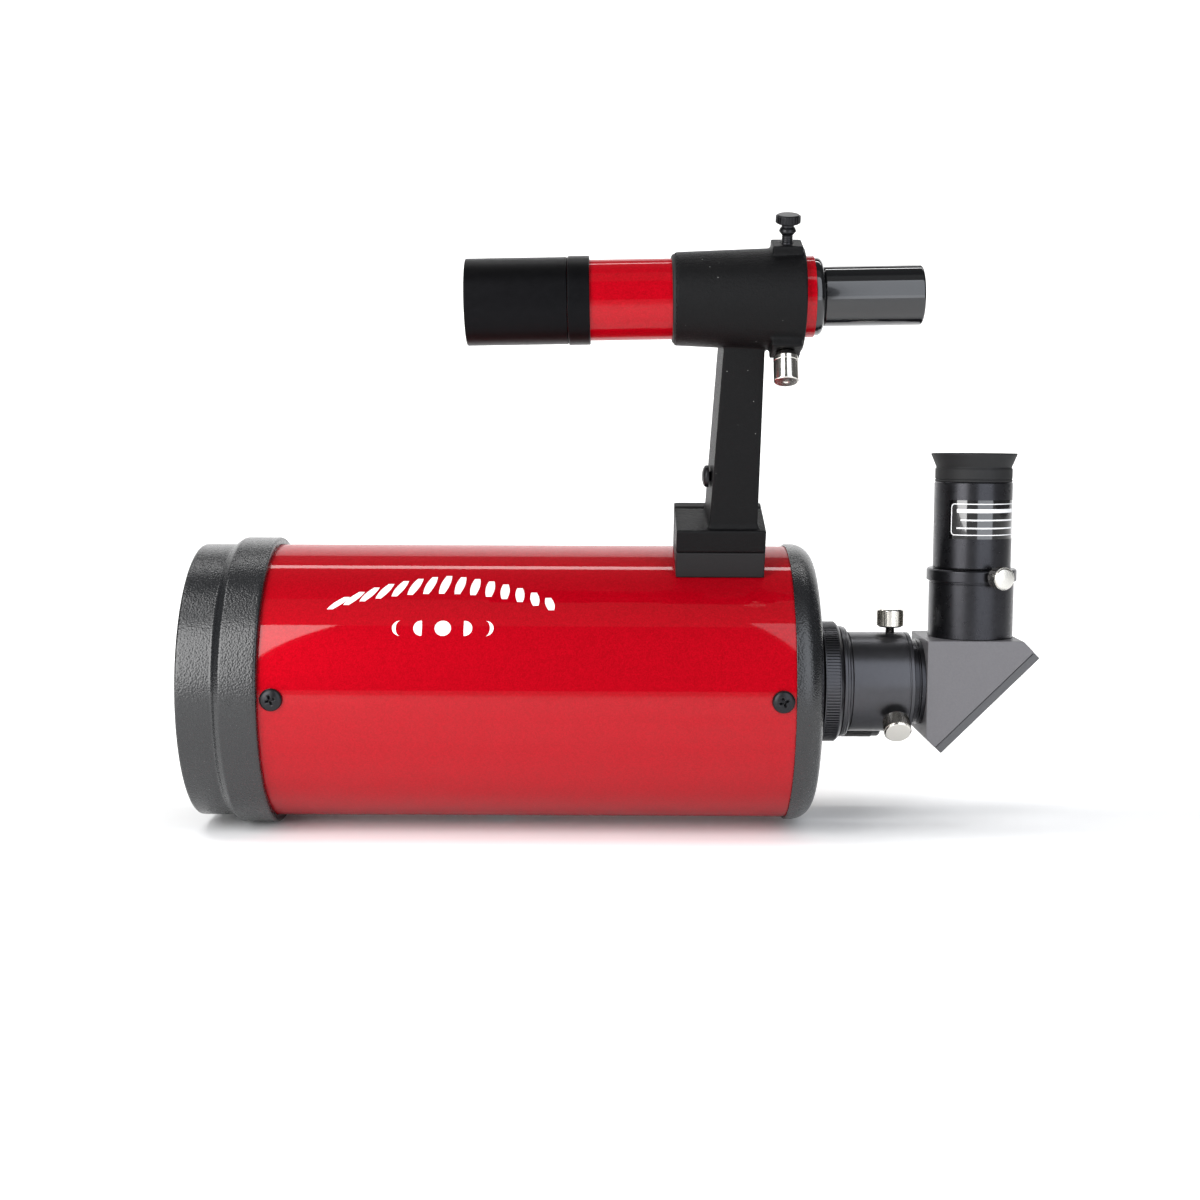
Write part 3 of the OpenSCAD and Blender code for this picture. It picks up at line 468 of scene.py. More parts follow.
def keepResult(obj, place=None):
    # turns live modifiers into the plain mesh and takes them off
    graph = bpy.context.evaluated_depsgraph_get()
    mesh = bpy.data.meshes.new_from_object(obj.evaluated_get(graph), preserve_all_data_layers=True,
                                           depsgraph=graph)
    obj.modifiers.clear()
    obj.data = mesh
    if place is not None:
        mesh.transform(Matrix.Scale(mm, 4) @ place)
    return obj


def cutWith(obj, cutters):
    for cutter in cutters:
        change = obj.modifiers.new("cut", "BOOLEAN")
        change.object = cutter
        change.operation = "DIFFERENCE"
        change.solver = "EXACT"
    keepResult(obj)
    for cutter in cutters:
        bpy.data.objects.remove(cutter)
    return obj


def settle(obj, body, slotName, *replaced):
    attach(obj, body)
    if replaced:
        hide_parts(*replaced)
    return obj


def turnedPiece(name, outline, place, material, body, slotName, *replaced, steps=144, rounding=0.25):
    return settle(toObject(name, turnedMesh(outline, steps, rounding), material, place), body, slotName,
                  *replaced)


def repaint(material, *names):
    for name in names:
        for slotHere in nodes[name].material_slots:
            slotHere.material = material


def arc(centreR, centreH, radius, start, stop, steps=6):
    return [(centreR + radius * cos(radians(start + (stop - start) * i / steps)),
             centreH + radius * sin(radians(start + (stop - start) * i / steps)),
             0) for i in range(steps + 1)]


def sag(curve, r):
    return curve - sqrt(curve * curve - r * r)


def dish(vertex, curve, fromR, toR, steps=16):
    # points along a spherical surface that bends towards the front at its edge
    radii = [fromR + (toR - fromR) * i / steps for i in range(steps + 1)]
    return [(r, vertex - sag(curve, r), 0) for r in radii]


def newTree(name, inputs):
    tree = bpy.data.node_groups.new(name, "GeometryNodeTree")
    tree.interface.new_socket("Geometry", in_out="INPUT", socket_type="NodeSocketGeometry")
    for label, kind in inputs.items():
        tree.interface.new_socket(label, in_out="INPUT", socket_type="NodeSocket" + kind)
    tree.interface.new_socket("Geometry", in_out="OUTPUT", socket_type="NodeSocketGeometry")
    return tree, addNode(tree, "NodeGroupInput")


def endTree(tree, start, geometry):
    real = addNode(tree, "GeometryNodeRealizeInstances", links={"Geometry": geometry})
    painted = addNode(tree, "GeometryNodeSetMaterial", links={
        "Geometry": real.outputs["Geometry"], "Material": start.outputs["Finish"]})
    addNode(tree, "NodeGroupOutput", links={"Geometry": painted.outputs["Geometry"]})
    return tree


def ribTree():
    # straight ribs round a rim, each a small bar that stands half in the body
    tree, start = newTree("ribs round a rim", {
        "Rib Count": "Int", "Rim Radius": "Float", "Rib Height": "Float", "Rib Width": "Float",
        "Rib Length": "Float", "Rib Middle": "Float", "Finish": "Material"})
    ring = addNode(tree, "GeometryNodeMeshCircle", links={
        "Vertices": start.outputs["Rib Count"], "Radius": start.outputs["Rim Radius"]})
    lift = addNode(tree, "ShaderNodeCombineXYZ", links={"Z": start.outputs["Rib Middle"]})
    outward = addNode(tree, "FunctionNodeAlignRotationToVector", {"axis": "X", "pivot_axis": "Z"},
                      links={"Vector": addNode(tree, "GeometryNodeInputPosition").outputs["Position"]})
    size = addNode(tree, "ShaderNodeCombineXYZ", links={
        "X": start.outputs["Rib Height"], "Y": start.outputs["Rib Width"], "Z": start.outputs["Rib Length"]})
    bar = addNode(tree, "GeometryNodeMeshCube", links={"Size": size.outputs["Vector"]})
    bars = addNode(tree, "GeometryNodeInstanceOnPoints", links={
        "Points": ring.outputs["Mesh"], "Instance": bar.outputs["Mesh"],
        "Rotation": outward.outputs["Rotation"]})
    lifted = addNode(tree, "GeometryNodeTransform", links={
        "Geometry": bars.outputs["Instances"], "Translation": lift.outputs["Vector"]})
    both = addNode(tree, "GeometryNodeJoinGeometry")
    tree.links.new(lifted.outputs["Geometry"], both.inputs["Geometry"])
    tree.links.new(start.outputs["Geometry"], both.inputs["Geometry"])
    return endTree(tree, start, both.outputs["Geometry"])


def screwTree():
    # copies of one screw round a circle, heads outward
    tree, start = newTree("screws round a cell", {
        "Screw Count": "Int", "Seat Radius": "Float", "Place Along": "Float", "Finish": "Material"})
    ring = addNode(tree, "GeometryNodeMeshCircle", links={
        "Vertices": start.outputs["Screw Count"], "Radius": start.outputs["Seat Radius"]})
    outward = addNode(tree, "FunctionNodeAlignRotationToVector", {"axis": "Z"},
                      links={"Vector": addNode(tree, "GeometryNodeInputPosition").outputs["Position"]})
    copies = addNode(tree, "GeometryNodeInstanceOnPoints", links={
        "Points": ring.outputs["Mesh"], "Instance": start.outputs["Geometry"],
        "Rotation": outward.outputs["Rotation"]})
    lift = addNode(tree, "ShaderNodeCombineXYZ", links={"Z": start.outputs["Place Along"]})
    lifted = addNode(tree, "GeometryNodeTransform", links={
        "Geometry": copies.outputs["Instances"], "Translation": lift.outputs["Vector"]})
    return endTree(tree, start, lifted.outputs["Geometry"])


def springTree():
    # round wire wound along Z
    tree, start = newTree("wound spring", {
        "Turns": "Float", "Coil Radius": "Float", "Wire Radius": "Float", "Spring Length": "Float",
        "Finish": "Material"})
    path = addNode(tree, "GeometryNodeCurveSpiral", values={"Resolution": 24}, links={
        "Rotations": start.outputs["Turns"], "Start Radius": start.outputs["Coil Radius"],
        "End Radius": start.outputs["Coil Radius"], "Height": start.outputs["Spring Length"]})
    wire = addNode(tree, "GeometryNodeCurvePrimitiveCircle", {"mode": "RADIUS"}, values={"Resolution": 10},
                   links={"Radius": start.outputs["Wire Radius"]})
    swept = addNode(tree, "GeometryNodeCurveToMesh", values={"Fill Caps": True}, links={
        "Curve": path.outputs["Curve"], "Profile Curve": wire.outputs["Curve"]})
    return endTree(tree, start, swept.outputs["Mesh"])


def runTree(obj, tree, inputs, place=None):
    change = obj.modifiers.new(tree.name, "NODES")
    change.node_group = tree
    for item in tree.interface.items_tree:
        if item.in_out == "INPUT" and item.name in inputs:
            change[item.identifier] = inputs[item.name]
    return keepResult(obj, place)


ribs = ribTree()
screws = screwTree()
spring = springTree()
print("node trees made")

tube = {"radius": 58.5, "wall": 2.0, "front": -104.0, "rear": 124.3, "bellyHole": 6.5,
        "bellyScrews": (-20, 20)}


def rodCutter(name, radius, low, high, place, steps=48):
    bm = turnedMesh([(0, low), (radius, low), (radius, high), (0, high)], steps, 0)
    return toObject(name, bm, steel, place)


def makeTube():
    bore = tube["radius"] - tube["wall"]
    obj = toObject("redTube", turnedMesh([(bore, tube["front"]), (tube["radius"], tube["front"]),
                                          (tube["radius"], tube["rear"]), (bore, tube["rear"])], 256, 0.2),
                   red, opticalAxis)
    # the mounting block shows through the belly between two countersunk screws
    cutters = [rodCutter("bellyHole", tube["bellyHole"], -1, 4, Matrix.Identity(4))]
    for x in tube["bellyScrews"]:
        sink = turnedMesh([(0, -1), (4.2, -1), (4.15, -0.1), (2.1, 2.0), (2.1, 4), (0, 4)], 40, 0)
        cutters.append(toObject("bellySink", sink, steel, Matrix.Translation((x, 0, 0))))
    cutWith(obj, cutters)
    return settle(obj, "optical_tube", "candy_red_paint", "main_tube")


makeTube()

frontCell = {"hoodFront": -127.5, "hoodInner": 55.5, "ringRadius": 61.5, "ringRear": -94.0}


def makeFrontCell():
    p = frontCell
    ringR = p["ringRadius"]
    outline = [(p["hoodInner"], p["hoodFront"], 0.5), (58.5, p["hoodFront"], 1.2)]
    outline += [(58.5, -112.6, 1.6), (60.2, -111.0, 0.9), (ringR, -109.0, 1.5)]
    outline += [(ringR, p["ringRear"], 1.1), (58.55, p["ringRear"], 0.2), (58.55, -104.1, 0),
                (56.45, -104.1, 0),
                (56.45, -80, 0), (53.9, -80, 0.3), (53.9, -95.4, 0), (51, -95.4, 0.2), (51, -97.4, 0.2),
                (53.3, -97.4, 0), (53.3, -109.2, 0), (54.4, -109.2, 0), (54.4, -113, 0.4), (55.5, -113, 0.4)]
    turnedPiece("frontCell", outline, opticalAxis, leather, "optical_tube", "leather_grain_abs", "front_cell",
                steps=224)


def makeRearCell():
    outline = [(58.55, 122.5, 0.2), (59.5, 122.5, 0.5)] + arc(50.5, 125.3, 9, 0, 90, 12)
    outline += [(19, 134.3, 0.6), (19, 145.6, 0.3), (16, 145.6, 0.2), (16, 129.3, 0), (53.4, 129.3, 0.5),
                (53.4, 108, 0), (56.45, 108, 0), (56.45, 124.4, 0), (58.55, 124.4, 0)]
    turnedPiece("rearCell", outline, opticalAxis, leather, "optical_tube", "leather_grain_abs", "rear_cell",
                steps=224)


def crossScrew(name, headR, headH, shankR, shankL, material):
    # pan head with a tapered cross recess, seat at Z = 0
    head = [(0, -shankL), (shankR, -shankL), (shankR, 0, 0), (headR, 0, 0.15), (headR, headH * 0.38, 0)]
    head += [(headR * cos(radians(a)) if a else headR, headH * (0.38 + 0.62 * sin(radians(a))), 0)
             for a in (18, 36, 54, 72)]
    head += [(0, headH, 0)]
    obj = toObject(name, turnedMesh(head, 48, 0.1), material)
    cutters = []
    for angle in (0, 90):
        bm = bmesh.new()
        wide, narrow, depth = headR * 0.56, headR * 0.2, headH * 0.62
        corners = []
        for level, spanHere, thick in ((headH - depth, narrow, headR * 0.07),
                                       (headH + 0.6, wide, headR * 0.13)):
            corners += [bm.verts.new((x * spanHere, y * thick, level)) for x,
                        y in ((-1, -1), (1, -1), (1, 1), (-1, 1))]
        for quad in ((3, 2, 1, 0), (4, 5, 6, 7), (0, 1, 5, 4), (1, 2, 6, 5), (2, 3, 7, 6), (3, 0, 4, 7)):
            bm.faces.new([corners[i] for i in quad])
        bm.transform(Matrix.Rotation(radians(angle + 20), 4, "Z"))
        cutters.append(toObject("recess", bm, material))
    return cutWith(obj, cutters)


cellScrews = {"headRadius": 4.6, "headHeight": 2.6, "shankRadius": 1.7, "count": 3, "front": -88.4,
              "rear": 117.2}


def makeCellScrews():
    p = cellScrews
    for name, node, along in (("frontCellScrews", "front_cell_screws", p["front"]),
                              ("rearCellScrews", "rear_cell_screws", p["rear"])):
        obj = crossScrew(name, p["headRadius"], p["headHeight"], p["shankRadius"], 5.5, oxide)
        runTree(obj, screws, {"Screw Count": p["count"], "Seat Radius": 58.55, "Place Along": along,
                              "Finish": oxide}, opticalAxis @ Matrix.Rotation(-pi / 2, 4, "Z"))
        settle(obj, "optical_tube", "black_screw_steel", node)


makeFrontCell()
makeRearCell()
makeCellScrews()
print("tube and cells made")

correctorVertex = -98.3 + sag(150, 53.2)


def makeOptics():
    turnedPiece("correctorLens", dish(correctorVertex - 9.5, 144, 0, 53.2, 20)
                + dish(correctorVertex, 150, 53.2, 0, 20), opticalAxis, glass, "optical_tube",
                "coated_glass", "corrector_lens", steps=160, rounding=0)
    # a shallow groove runs round the front face of the retaining ring
    retainer = [(51, -112, 0.3), (52, -112, 0.1), (52, -111.4, 0.1), (53, -111.4, 0.1), (53, -112, 0.1),
                (54.35, -112, 0.3), (54.35, -109.3, 0), (53.2, -109.3, 0), (53.2, -108.35, 0.1),
                (51, -108.35, 0.1)]
    turnedPiece("correctorRetainer", retainer, opticalAxis, baffle, "optical_tube", "flat_black_baffle",
                "corrector_retainer", steps=160)
    turnedPiece("secondarySpot", dish(correctorVertex + 0.02, 150, 0, 13, 8)
                + dish(correctorVertex + 0.3, 150, 13, 0, 8), opticalAxis, mirror, "optical_tube",
                "aluminised_glass", "secondary_spot", steps=96, rounding=0)
    cone = dish(correctorVertex + 0.02, 150, 13.6, 16, 2)
    cone += [(16, -86, 0.3), (14.6, -84.5, 0.3), (15.6, -60, 0.2), (14.6, -60, 0.2), (13.6, -84.5, 0.3)]
    turnedPiece("secondaryBaffle", cone, opticalAxis, baffle, "optical_tube", "flat_black_baffle",
                "secondary_baffle", steps=96)
    # a plain tube that ends in the flange its screws hold
    tubeOutline = [(12.5, 129.3, 0), (12.5, -15, 0.1), (14, -15, 0.2), (14, 125.3, 0), (24, 125.3, 0.2),
                   (24, 129.3, 0.2)]
    turnedPiece("baffleTube", tubeOutline, opticalAxis, baffle, "optical_tube", "flat_black_baffle",
                "baffle_tube", steps=96)
    mirrorOutline = dish(95, 480, 20.1, 50.5, 16) + [(51, 95 - sag(480, 51) + 0.5, 0), (51, 108, 0.4),
                                                    (20.1, 108, 0.2)]
    turnedPiece("primaryMirror", mirrorOutline, opticalAxis, mirror, "mirror_carriage", "aluminised_glass",
                "primary_mirror", steps=160)


makeOptics()
print("optics made")

focusKnob = {"radius": 11.0, "front": 145.5, "rear": 170.4, "ribs": 40}
lockRing = {"radius": 26.0, "front": 138.0, "rear": 146.4, "ribs": 120, "ribWidth": 0.72}
visualBack = {"radius": 21.5, "socket": 15.925, "rear": 177.0}
backScrew = {"radius": 5.8, "low": 23.9, "high": 31.7, "shankR": 1.9, "tip": 15.95, "ribCount": 44}


def makeFocusKnob():
    p = focusKnob
    outline = [(5.45, p["front"], 0.1), (p["radius"] - 0.4, p["front"], 0.8),
               (p["radius"] - 0.4, p["rear"], 2.2),
               (7.6, p["rear"], 0.5), (7.2, p["rear"] - 0.6, 0.3), (0, p["rear"] - 0.6), (0, p["rear"] - 3),
               (3.5, p["rear"] - 3, 0), (3.5, 156.1, 0), (5.45, 156.1, 0)]
    obj = toObject("focusKnob", turnedMesh(outline, 120), knob)
    runTree(obj, ribs, {"Rib Count": p["ribs"], "Rim Radius": p["radius"] - 0.65, "Rib Height": 1.2,
                        "Rib Width": 0.95, "Rib Length": 18.0, "Rib Middle": 157.5, "Finish": knob},
                        focusAxis)
    settle(obj, "focus_knob", "black_knob_plastic", "focus_knob")
    bush = [(5.45, 127.3), (7, 127.3, 0.2), (7, 134.35, 0), (9.5, 134.35, 0.1), (9.5, 144, 0.5),
            (5.45, 144, 0.2)]
    turnedPiece("focusBush", bush, focusAxis, brass, "optical_tube", "turned_brass", "focus_bush", steps=72)


def makeLockRing():
    p = lockRing
    body = p["radius"] - 0.6
    outline = [(19.05, p["front"], 0.2), (body - 0.5, p["front"], 0.2), (p["radius"], p["front"] + 0.5, 0.2),
               (p["radius"], p["front"] + 1.0, 0.1), (body, p["front"] + 1.2, 0.1), (body, 144.4, 0.1),
               (p["radius"] - 0.3, 144.7, 0.1), (p["radius"] - 0.5, 145.2, 0.2),
               (p["radius"] - 1.8, p["rear"], 0.3), (19.05, p["rear"], 0.2)]
    obj = toObject("lockRing", turnedMesh(outline, 160), satinAnodised)
    runTree(obj, ribs, {"Rib Count": p["ribs"], "Rim Radius": p["radius"] - 0.55, "Rib Height": 1.1,
                        "Rib Width": p["ribWidth"], "Rib Length": 5.6, "Rib Middle": 141.8,
                        "Finish": satinAnodised}, opticalAxis)
    settle(obj, "lock_ring", "black_anodised", "lock_ring")


def makeVisualBack():
    p = visualBack
    r = p["radius"]
    outline = [(13.6, 140, 0.1), (15.95, 140, 0.1), (15.95, 146.7, 0), (24, 146.7, 0.3), (24, 148.1, 0.2),
               (23.6, 148.4, 0.1), (23.6, 149.1, 0.2), (23.1, 149.6, 0.2), (20.7, 149.6, 0.1),
               (20.7, 150.8, 0.1),
               (r, 150.8, 0.3), (r, 174.6, 0.1), (r - 0.45, 174.75, 0.05), (r - 0.45, 175.25, 0.05),
               (r, 175.4, 0.1), (r, p["rear"], 0.5), (p["socket"], p["rear"], 0.4), (p["socket"], 153, 0),
               (13.6, 153, 0.1)]
    turnedPiece("visualBack", outline, opticalAxis, satinAnodised, "optical_tube", "black_anodised",
                "visual_back",
                steps=160)


def thumbscrew(name, radius, low, high, shankR, tip, ribCount, place, material, body, slotName, node):
    # knurled band between two plain rims, with a faint dome on the end
    face = high - low
    outline = [(0, tip), (shankR, tip, 0.15), (shankR, low, 0), (radius - 1.0, low, 0.2),
               (radius - 0.25, low + 0.55, 0.15), (radius - 0.25, high - 0.5, 0.15),
               (radius - 0.75, high, 0.3),
               (radius * 0.45, high + 0.06, 0), (0, high + 0.08)]
    obj = toObject(name, turnedMesh(outline, 72), material)
    pitch = 2 * pi * radius / ribCount
    runTree(obj, ribs, {"Rib Count": ribCount, "Rim Radius": radius - 0.3, "Rib Height": 0.6,
                        "Rib Width": pitch * 0.6, "Rib Length": face - 1.5, "Rib Middle": (low + high) / 2,
                        "Finish": material}, place)
    return settle(obj, body, slotName, node)


makeFocusKnob()
makeLockRing()
makeVisualBack()
for screwName, turn, screwBody in (("backScrewTop", 0, "back_screw_top"),
                                   ("backScrewSide", 125, "back_screw_side")):
    thumbscrew(screwName, **backScrew, place=onRadius(opticalCentre, 169, turn), material=nickel,
               body=screwBody, slotName="nickel_plated", node=screwBody)
print("rear port made")

diagonal = {"left": -21.7, "top": 20.0, "seam": 5.6, "cover": 9.15, "t": (-30.7, 27.4), "width": 39.0,
            "edge": 0.45}


def atMirror(t, d):
    return ((t + d) / sqrt(2), (t - d) / sqrt(2))


def prism(name, outline, width, bevel, material):
    # an outline of (x, z) about the fold, drawn out across the housing
    bm = bmesh.new()
    near = [bm.verts.new((x, -width / 2, z)) for x, z in outline]
    far = [bm.verts.new((x, width / 2, z)) for x, z in outline]
    bm.faces.new(near)
    bm.faces.new(far[::-1])
    for i in range(len(outline)):
        n = (i + 1) % len(outline)
        bm.faces.new([near[n], near[i], far[i], far[n]])
    bmesh.ops.recalc_face_normals(bm, faces=bm.faces)
    if bevel:
        bmesh.ops.bevel(bm, geom=list(bm.edges), offset=bevel, segments=3, profile=0.5, affect="EDGES")
    return toObject(name, bm, material, eyepieceAxis)


def makeDiagonal():
    p = diagonal
    left, top, seam, cover, width = (p[key] for key in ("left", "top", "seam", "cover", "width"))
    tLow, tHigh = p["t"]
    body = prism("diagonalBody", [(left, top), (tHigh * sqrt(2) - top, top), atMirror(tHigh, seam),
                                  atMirror(tLow, seam), (left, tLow * sqrt(2) - left)][::-1], width,
                                  p["edge"], housing)
    cutters = [rodCutter("port", 16.95, foldX + left - 1, foldX + left + 4.7, opticalAxis),
               rodCutter("way", 13.5, foldX + left + 3, foldX, opticalAxis),
               rodCutter("port", 16.95, top - 4.7, top + 1, eyepieceAxis),
               rodCutter("way", 13.5, 0, top - 3, eyepieceAxis)]
    cutWith(body, cutters)
    settle(body, "diagonal", "black_housing_plastic", "diagonal_body")
    lid = prism("diagonalCover", [atMirror(tLow + 0.15, seam + 0.12), atMirror(tHigh - 0.15, seam + 0.12),
                                  atMirror(tHigh - 0.15, cover), atMirror(tLow + 0.15, cover)], width - 0.4,
                p["edge"], coverPlastic)
    settle(lid, "diagonal", "black_housing_plastic", "diagonal_cover")
    nose = [(13.6, 155, 0.1), (15.45, 155, 0.2), (15.85, 155.6, 0.2), (15.85, 177.2, 0), (18.2, 177.2, 0.3),
            (18.2, 179.2, 0.1), (17.8, 179.5, 0.1), (17.8, 180.0, 0.1), (18.5, 180.3, 0.1), (18.5, 182, 0.1),
            (16.9, 182, 0), (16.9, 186.7, 0), (13.6, 186.7, 0)]
    turnedPiece("diagonalNosepiece", nose, opticalAxis, anodised, "diagonal", "black_anodised",
                "diagonal_nosepiece")


def makeHolder():
    outline = [(13.6, 15.3, 0), (16.9, 15.3, 0), (16.9, 20, 0), (18, 20, 0.3), (18, 43.3, 0.1),
               (17.75, 43.45, 0.05),
               (17.75, 43.75, 0.05), (18, 43.9, 0.1), (18, 44.5, 0.1), (19.1, 44.5, 0.3), (19.1, 49.0, 0.5),
               (18.5, 49.6, 0.3), (15.925, 49.6, 0.3), (15.925, 24, 0), (13.6, 24, 0)]
    turnedPiece("eyepieceHolder", outline, eyepieceAxis, anodised, "diagonal", "black_anodised",
                "eyepiece_holder")
    thumbscrew("holderScrew", 4.75, 20.9, 27.7, 1.5, 15.95, 38, holderScrewAxis, nickel, "holder_screw",
               "nickel_plated", "holder_screw")


makeDiagonal()
makeHolder()
print("diagonal made")

eyepiece = {"radius": 16.55, "bottom": 49.7, "shoulder": 86.8}
label = {"startAngle": -138.0, "endAngle": 4.0, "low": 62.9, "high": 79.3, "line": 0.4}


def inkStrip(bm, pairs, radius, low, high, across=4, closed=False):
    # a printed shape on a round surface: pairs of (arc length, height) edges, with a real thickness
    layers = []
    for depth in (low, high):
        r = radius + depth
        layers.append([[bm.verts.new((r * cos((a[0] + (b[0] - a[0]) * k / across) / radius),
                                      r * sin((a[0] + (b[0] - a[0]) * k / across) / radius),
                                      a[1] + (b[1] - a[1]) * k / across))
                        for k in range(across + 1)] for a, b in pairs])
    inner, outer = layers
    count = len(pairs)
    for i in range(count if closed else count - 1):
        n = (i + 1) % count
        for k in range(across):
            bm.faces.new([outer[i][k], outer[n][k], outer[n][k + 1], outer[i][k + 1]])
            bm.faces.new([inner[i][k + 1], inner[n][k + 1], inner[n][k], inner[i][k]])
        bm.faces.new([inner[i][0], inner[n][0], outer[n][0], outer[i][0]])
        bm.faces.new([outer[i][across], outer[n][across], inner[n][across], inner[i][across]])
    if not closed:
        for k in range(across):
            bm.faces.new([inner[0][k], outer[0][k], outer[0][k + 1], inner[0][k + 1]])
            bm.faces.new([inner[-1][k + 1], outer[-1][k + 1], outer[-1][k], inner[-1][k]])


def roundedFrame(left, right, low, high, corner, line):
    # edge pairs along a rounded rectangle
    pairs = []
    for cx, cy, start in ((right - corner, high - corner, 0), (left + corner, high - corner, 90),
                          (left + corner, low + corner, 180), (right - corner, low + corner, 270)):
        for k in range(7):
            a = radians(start + 15 * k)
            pairs.append(((cx + corner * cos(a), cy + corner * sin(a)),
                          (cx + (corner - line) * cos(a), cy + (corner - line) * sin(a))))
    full = []
    for a, b in zip(pairs, pairs[1:] + pairs[:1]):
        steps = max(1, int(hypot(b[0][0] - a[0][0], b[0][1] - a[0][1]) / 1.2))
        for k in range(steps):
            full.append(tuple(tuple(p + (q - p) * k / steps for p, q in zip(a[e], b[e])) for e in (0, 1)))
    return full


def finishInk(name, bm, material, place):
    bmesh.ops.remove_doubles(bm, verts=bm.verts, dist=1e-5)
    bmesh.ops.recalc_face_normals(bm, faces=bm.faces)
    for face in bm.faces:
        face.smooth = True
    return toObject(name, bm, material, place)


def makeEyepiece():
    p = eyepiece
    r = p["radius"]
    outline = [(14.6, p["bottom"], 0.1), (r - 0.2, p["bottom"], 0.3), (r, p["bottom"] + 0.8, 0.3),
               (r, p["shoulder"] - 0.5, 0.3), (r - 0.4, p["shoulder"], 0.2), (14.8, p["shoulder"], 0),
               (14.8, 92.1, 0.1), (9, 92.1, 0.2), (9, 90.6, 0.1), (11.3, 90.6, 0), (11.3, 79, 0), (14, 79, 0),
               (14, 56, 0), (14.6, 56, 0)]
    turnedPiece("eyepieceBarrel", outline, eyepieceAxis, anodised, "eyepiece", "black_anodised",
                "eyepiece_barrel")
    sleeve = [(14, 25, 0.1), (15.45, 25, 0.2), (15.85, 25.6, 0.2), (15.85, 30, 0.2), (15.5, 30.4, 0.2),
              (15.5, 31.6, 0.2), (15.85, 32, 0.2), (15.85, 49.65, 0), (14.55, 49.65, 0), (14.55, 55.8, 0.1),
              (13.2, 55.8, 0.1), (13.2, 48, 0), (14, 48, 0)]
    turnedPiece("eyepieceSleeve", sleeve, eyepieceAxis, nickel, "eyepiece", "nickel_plated",
                "eyepiece_sleeve")
    cup = [(14.85, 86.85, 0.1), (16.3, 86.85, 0.3), (16.3, 87.7, 0.1), (16.05, 87.85, 0.05),
           (16.05, 88.05, 0.05),
           (16.3, 88.2, 0.1), (16.3, 92.3, 0.3), (15.95, 92.7, 0.2), (15.9, 93.1, 0.3), (18.1, 98.4, 0.4),
           (18.1, 98.9, 0.2), (17.3, 98.9, 0.3), (14.6, 93.2, 0.6), (12, 92.6, 0.2), (12, 92.15, 0.1),
           (14.85, 92.15, 0.1)]
    turnedPiece("eyecup", cup, eyepieceAxis, rubber, "eyepiece", "black_rubber", "eyecup")
    lens = [(r2, 81 - 1.5 * (1 - (r2 / 11.2) ** 2), 0) for r2 in (0, 2.8, 5.6, 8.4, 11.2)]
    lens += [(r2, 87 + 1.5 * (1 - (r2 / 11.2) ** 2), 0) for r2 in (11.2, 9.8, 8.4, 7, 5.6, 4.2, 2.8, 1.4, 0)]
    turnedPiece("eyeLens", lens, eyepieceAxis, glass, "eyepiece", "coated_glass", "eye_lens", steps=96,
                rounding=0)


def makeLabel():
    p = label
    r = eyepiece["radius"]
    left, right = radians(p["startAngle"]) * r, radians(p["endAngle"]) * r
    steps = 48
    bm = bmesh.new()
    arcs = [left + (right - left) * i / steps for i in range(steps + 1)]
    inkStrip(bm, [((s, p["low"]), (s, p["high"])) for s in arcs], r, 0.01, 0.09, 2)
    settle(finishInk("labelFilm", bm, film, eyepieceAxis), "eyepiece", "gloss_black_plastic")
    bm = bmesh.new()
    inkStrip(bm, roundedFrame(left + 1.0, right - 1.0, p["low"] + 1.5, p["high"] - 1.4, 1.6, p["line"]), r,
             0.08, 0.13, 1, True)
    # plain rules fill the panel
    for low, high, inset in ((74.0, 75.6, 3.6), (70.6, 71.2, 5.4), (67.2, 67.8, 3.6)):
        start, stop = left + inset, right - inset
        arcs = [start + (stop - start) * i / 24 for i in range(25)]
        inkStrip(bm, [((s, low), (s, high)) for s in arcs], r, 0.08, 0.12, 1)
    settle(finishInk("labelRules", bm, ink, eyepieceAxis), "eyepiece", "gloss_black_plastic")


makeEyepiece()
makeLabel()
print("eyepiece made")

emblem = {"centreX": -20.0, "turn": 57.0, "halfWidth": 43.0, "strokes": 15, "rise": 8.0, "moon": 3.3,
          "pitch": 8.6}


def makeEmblem():
    # an arch of slanted strokes over a row of moon phases, in flat ink
    p = emblem
    r = tube["radius"]
    bm = bmesh.new()
    for i in range(p["strokes"]):
        u = (i - (p["strokes"] - 1) / 2) / ((p["strokes"] - 1) / 2)
        foot = 4.2 + p["rise"] * (1 - u * u)
        tall = 6.0 + 4.2 * (1 - abs(u))
        along = p["halfWidth"] * u
        stroke = []
        for k in range(7):
            up = k / 6
            middle = along + (up - 0.5) * 2.6 - u * (up - 0.5) * 4.0
            half = 0.5 + 1.35 * sin(pi * (0.15 + 0.7 * up))
            stroke.append(((foot + tall * up, middle - half), (foot + tall * up, middle + half)))
        inkStrip(bm, [tuple((-a[0], a[1]) for a in pair) for pair in stroke], r, 0.0, 0.06, 2)
    for index, phase in enumerate((0.55, -0.05, -1.0, -0.05, 0.55)):
        side = -1 if index < 2 else 1
        middle = (index - 2) * p["pitch"]
        moon = []
        for k in range(1, 24):
            a = pi * k / 24
            moon.append(((4.2 - p["moon"] * cos(a), middle + side * p["moon"] * sin(a)),
                         (4.2 - p["moon"] * cos(a), middle + side * p["moon"] * sin(a) * phase)))
        inkStrip(bm, moon, r, 0.0, 0.06, 4)
    place = opticalAxis @ Matrix.Translation((0, 0, p["centreX"])) @ Matrix.Rotation(radians(180 + p["turn"]),
                                                                                     4, "Z")
    settle(finishInk("tubeEmblem", bm, ink, place), "optical_tube", "candy_red_paint")


makeEmblem()
print("emblem made")

casting = {"voxel": 0.5, "smoothSteps": 3}


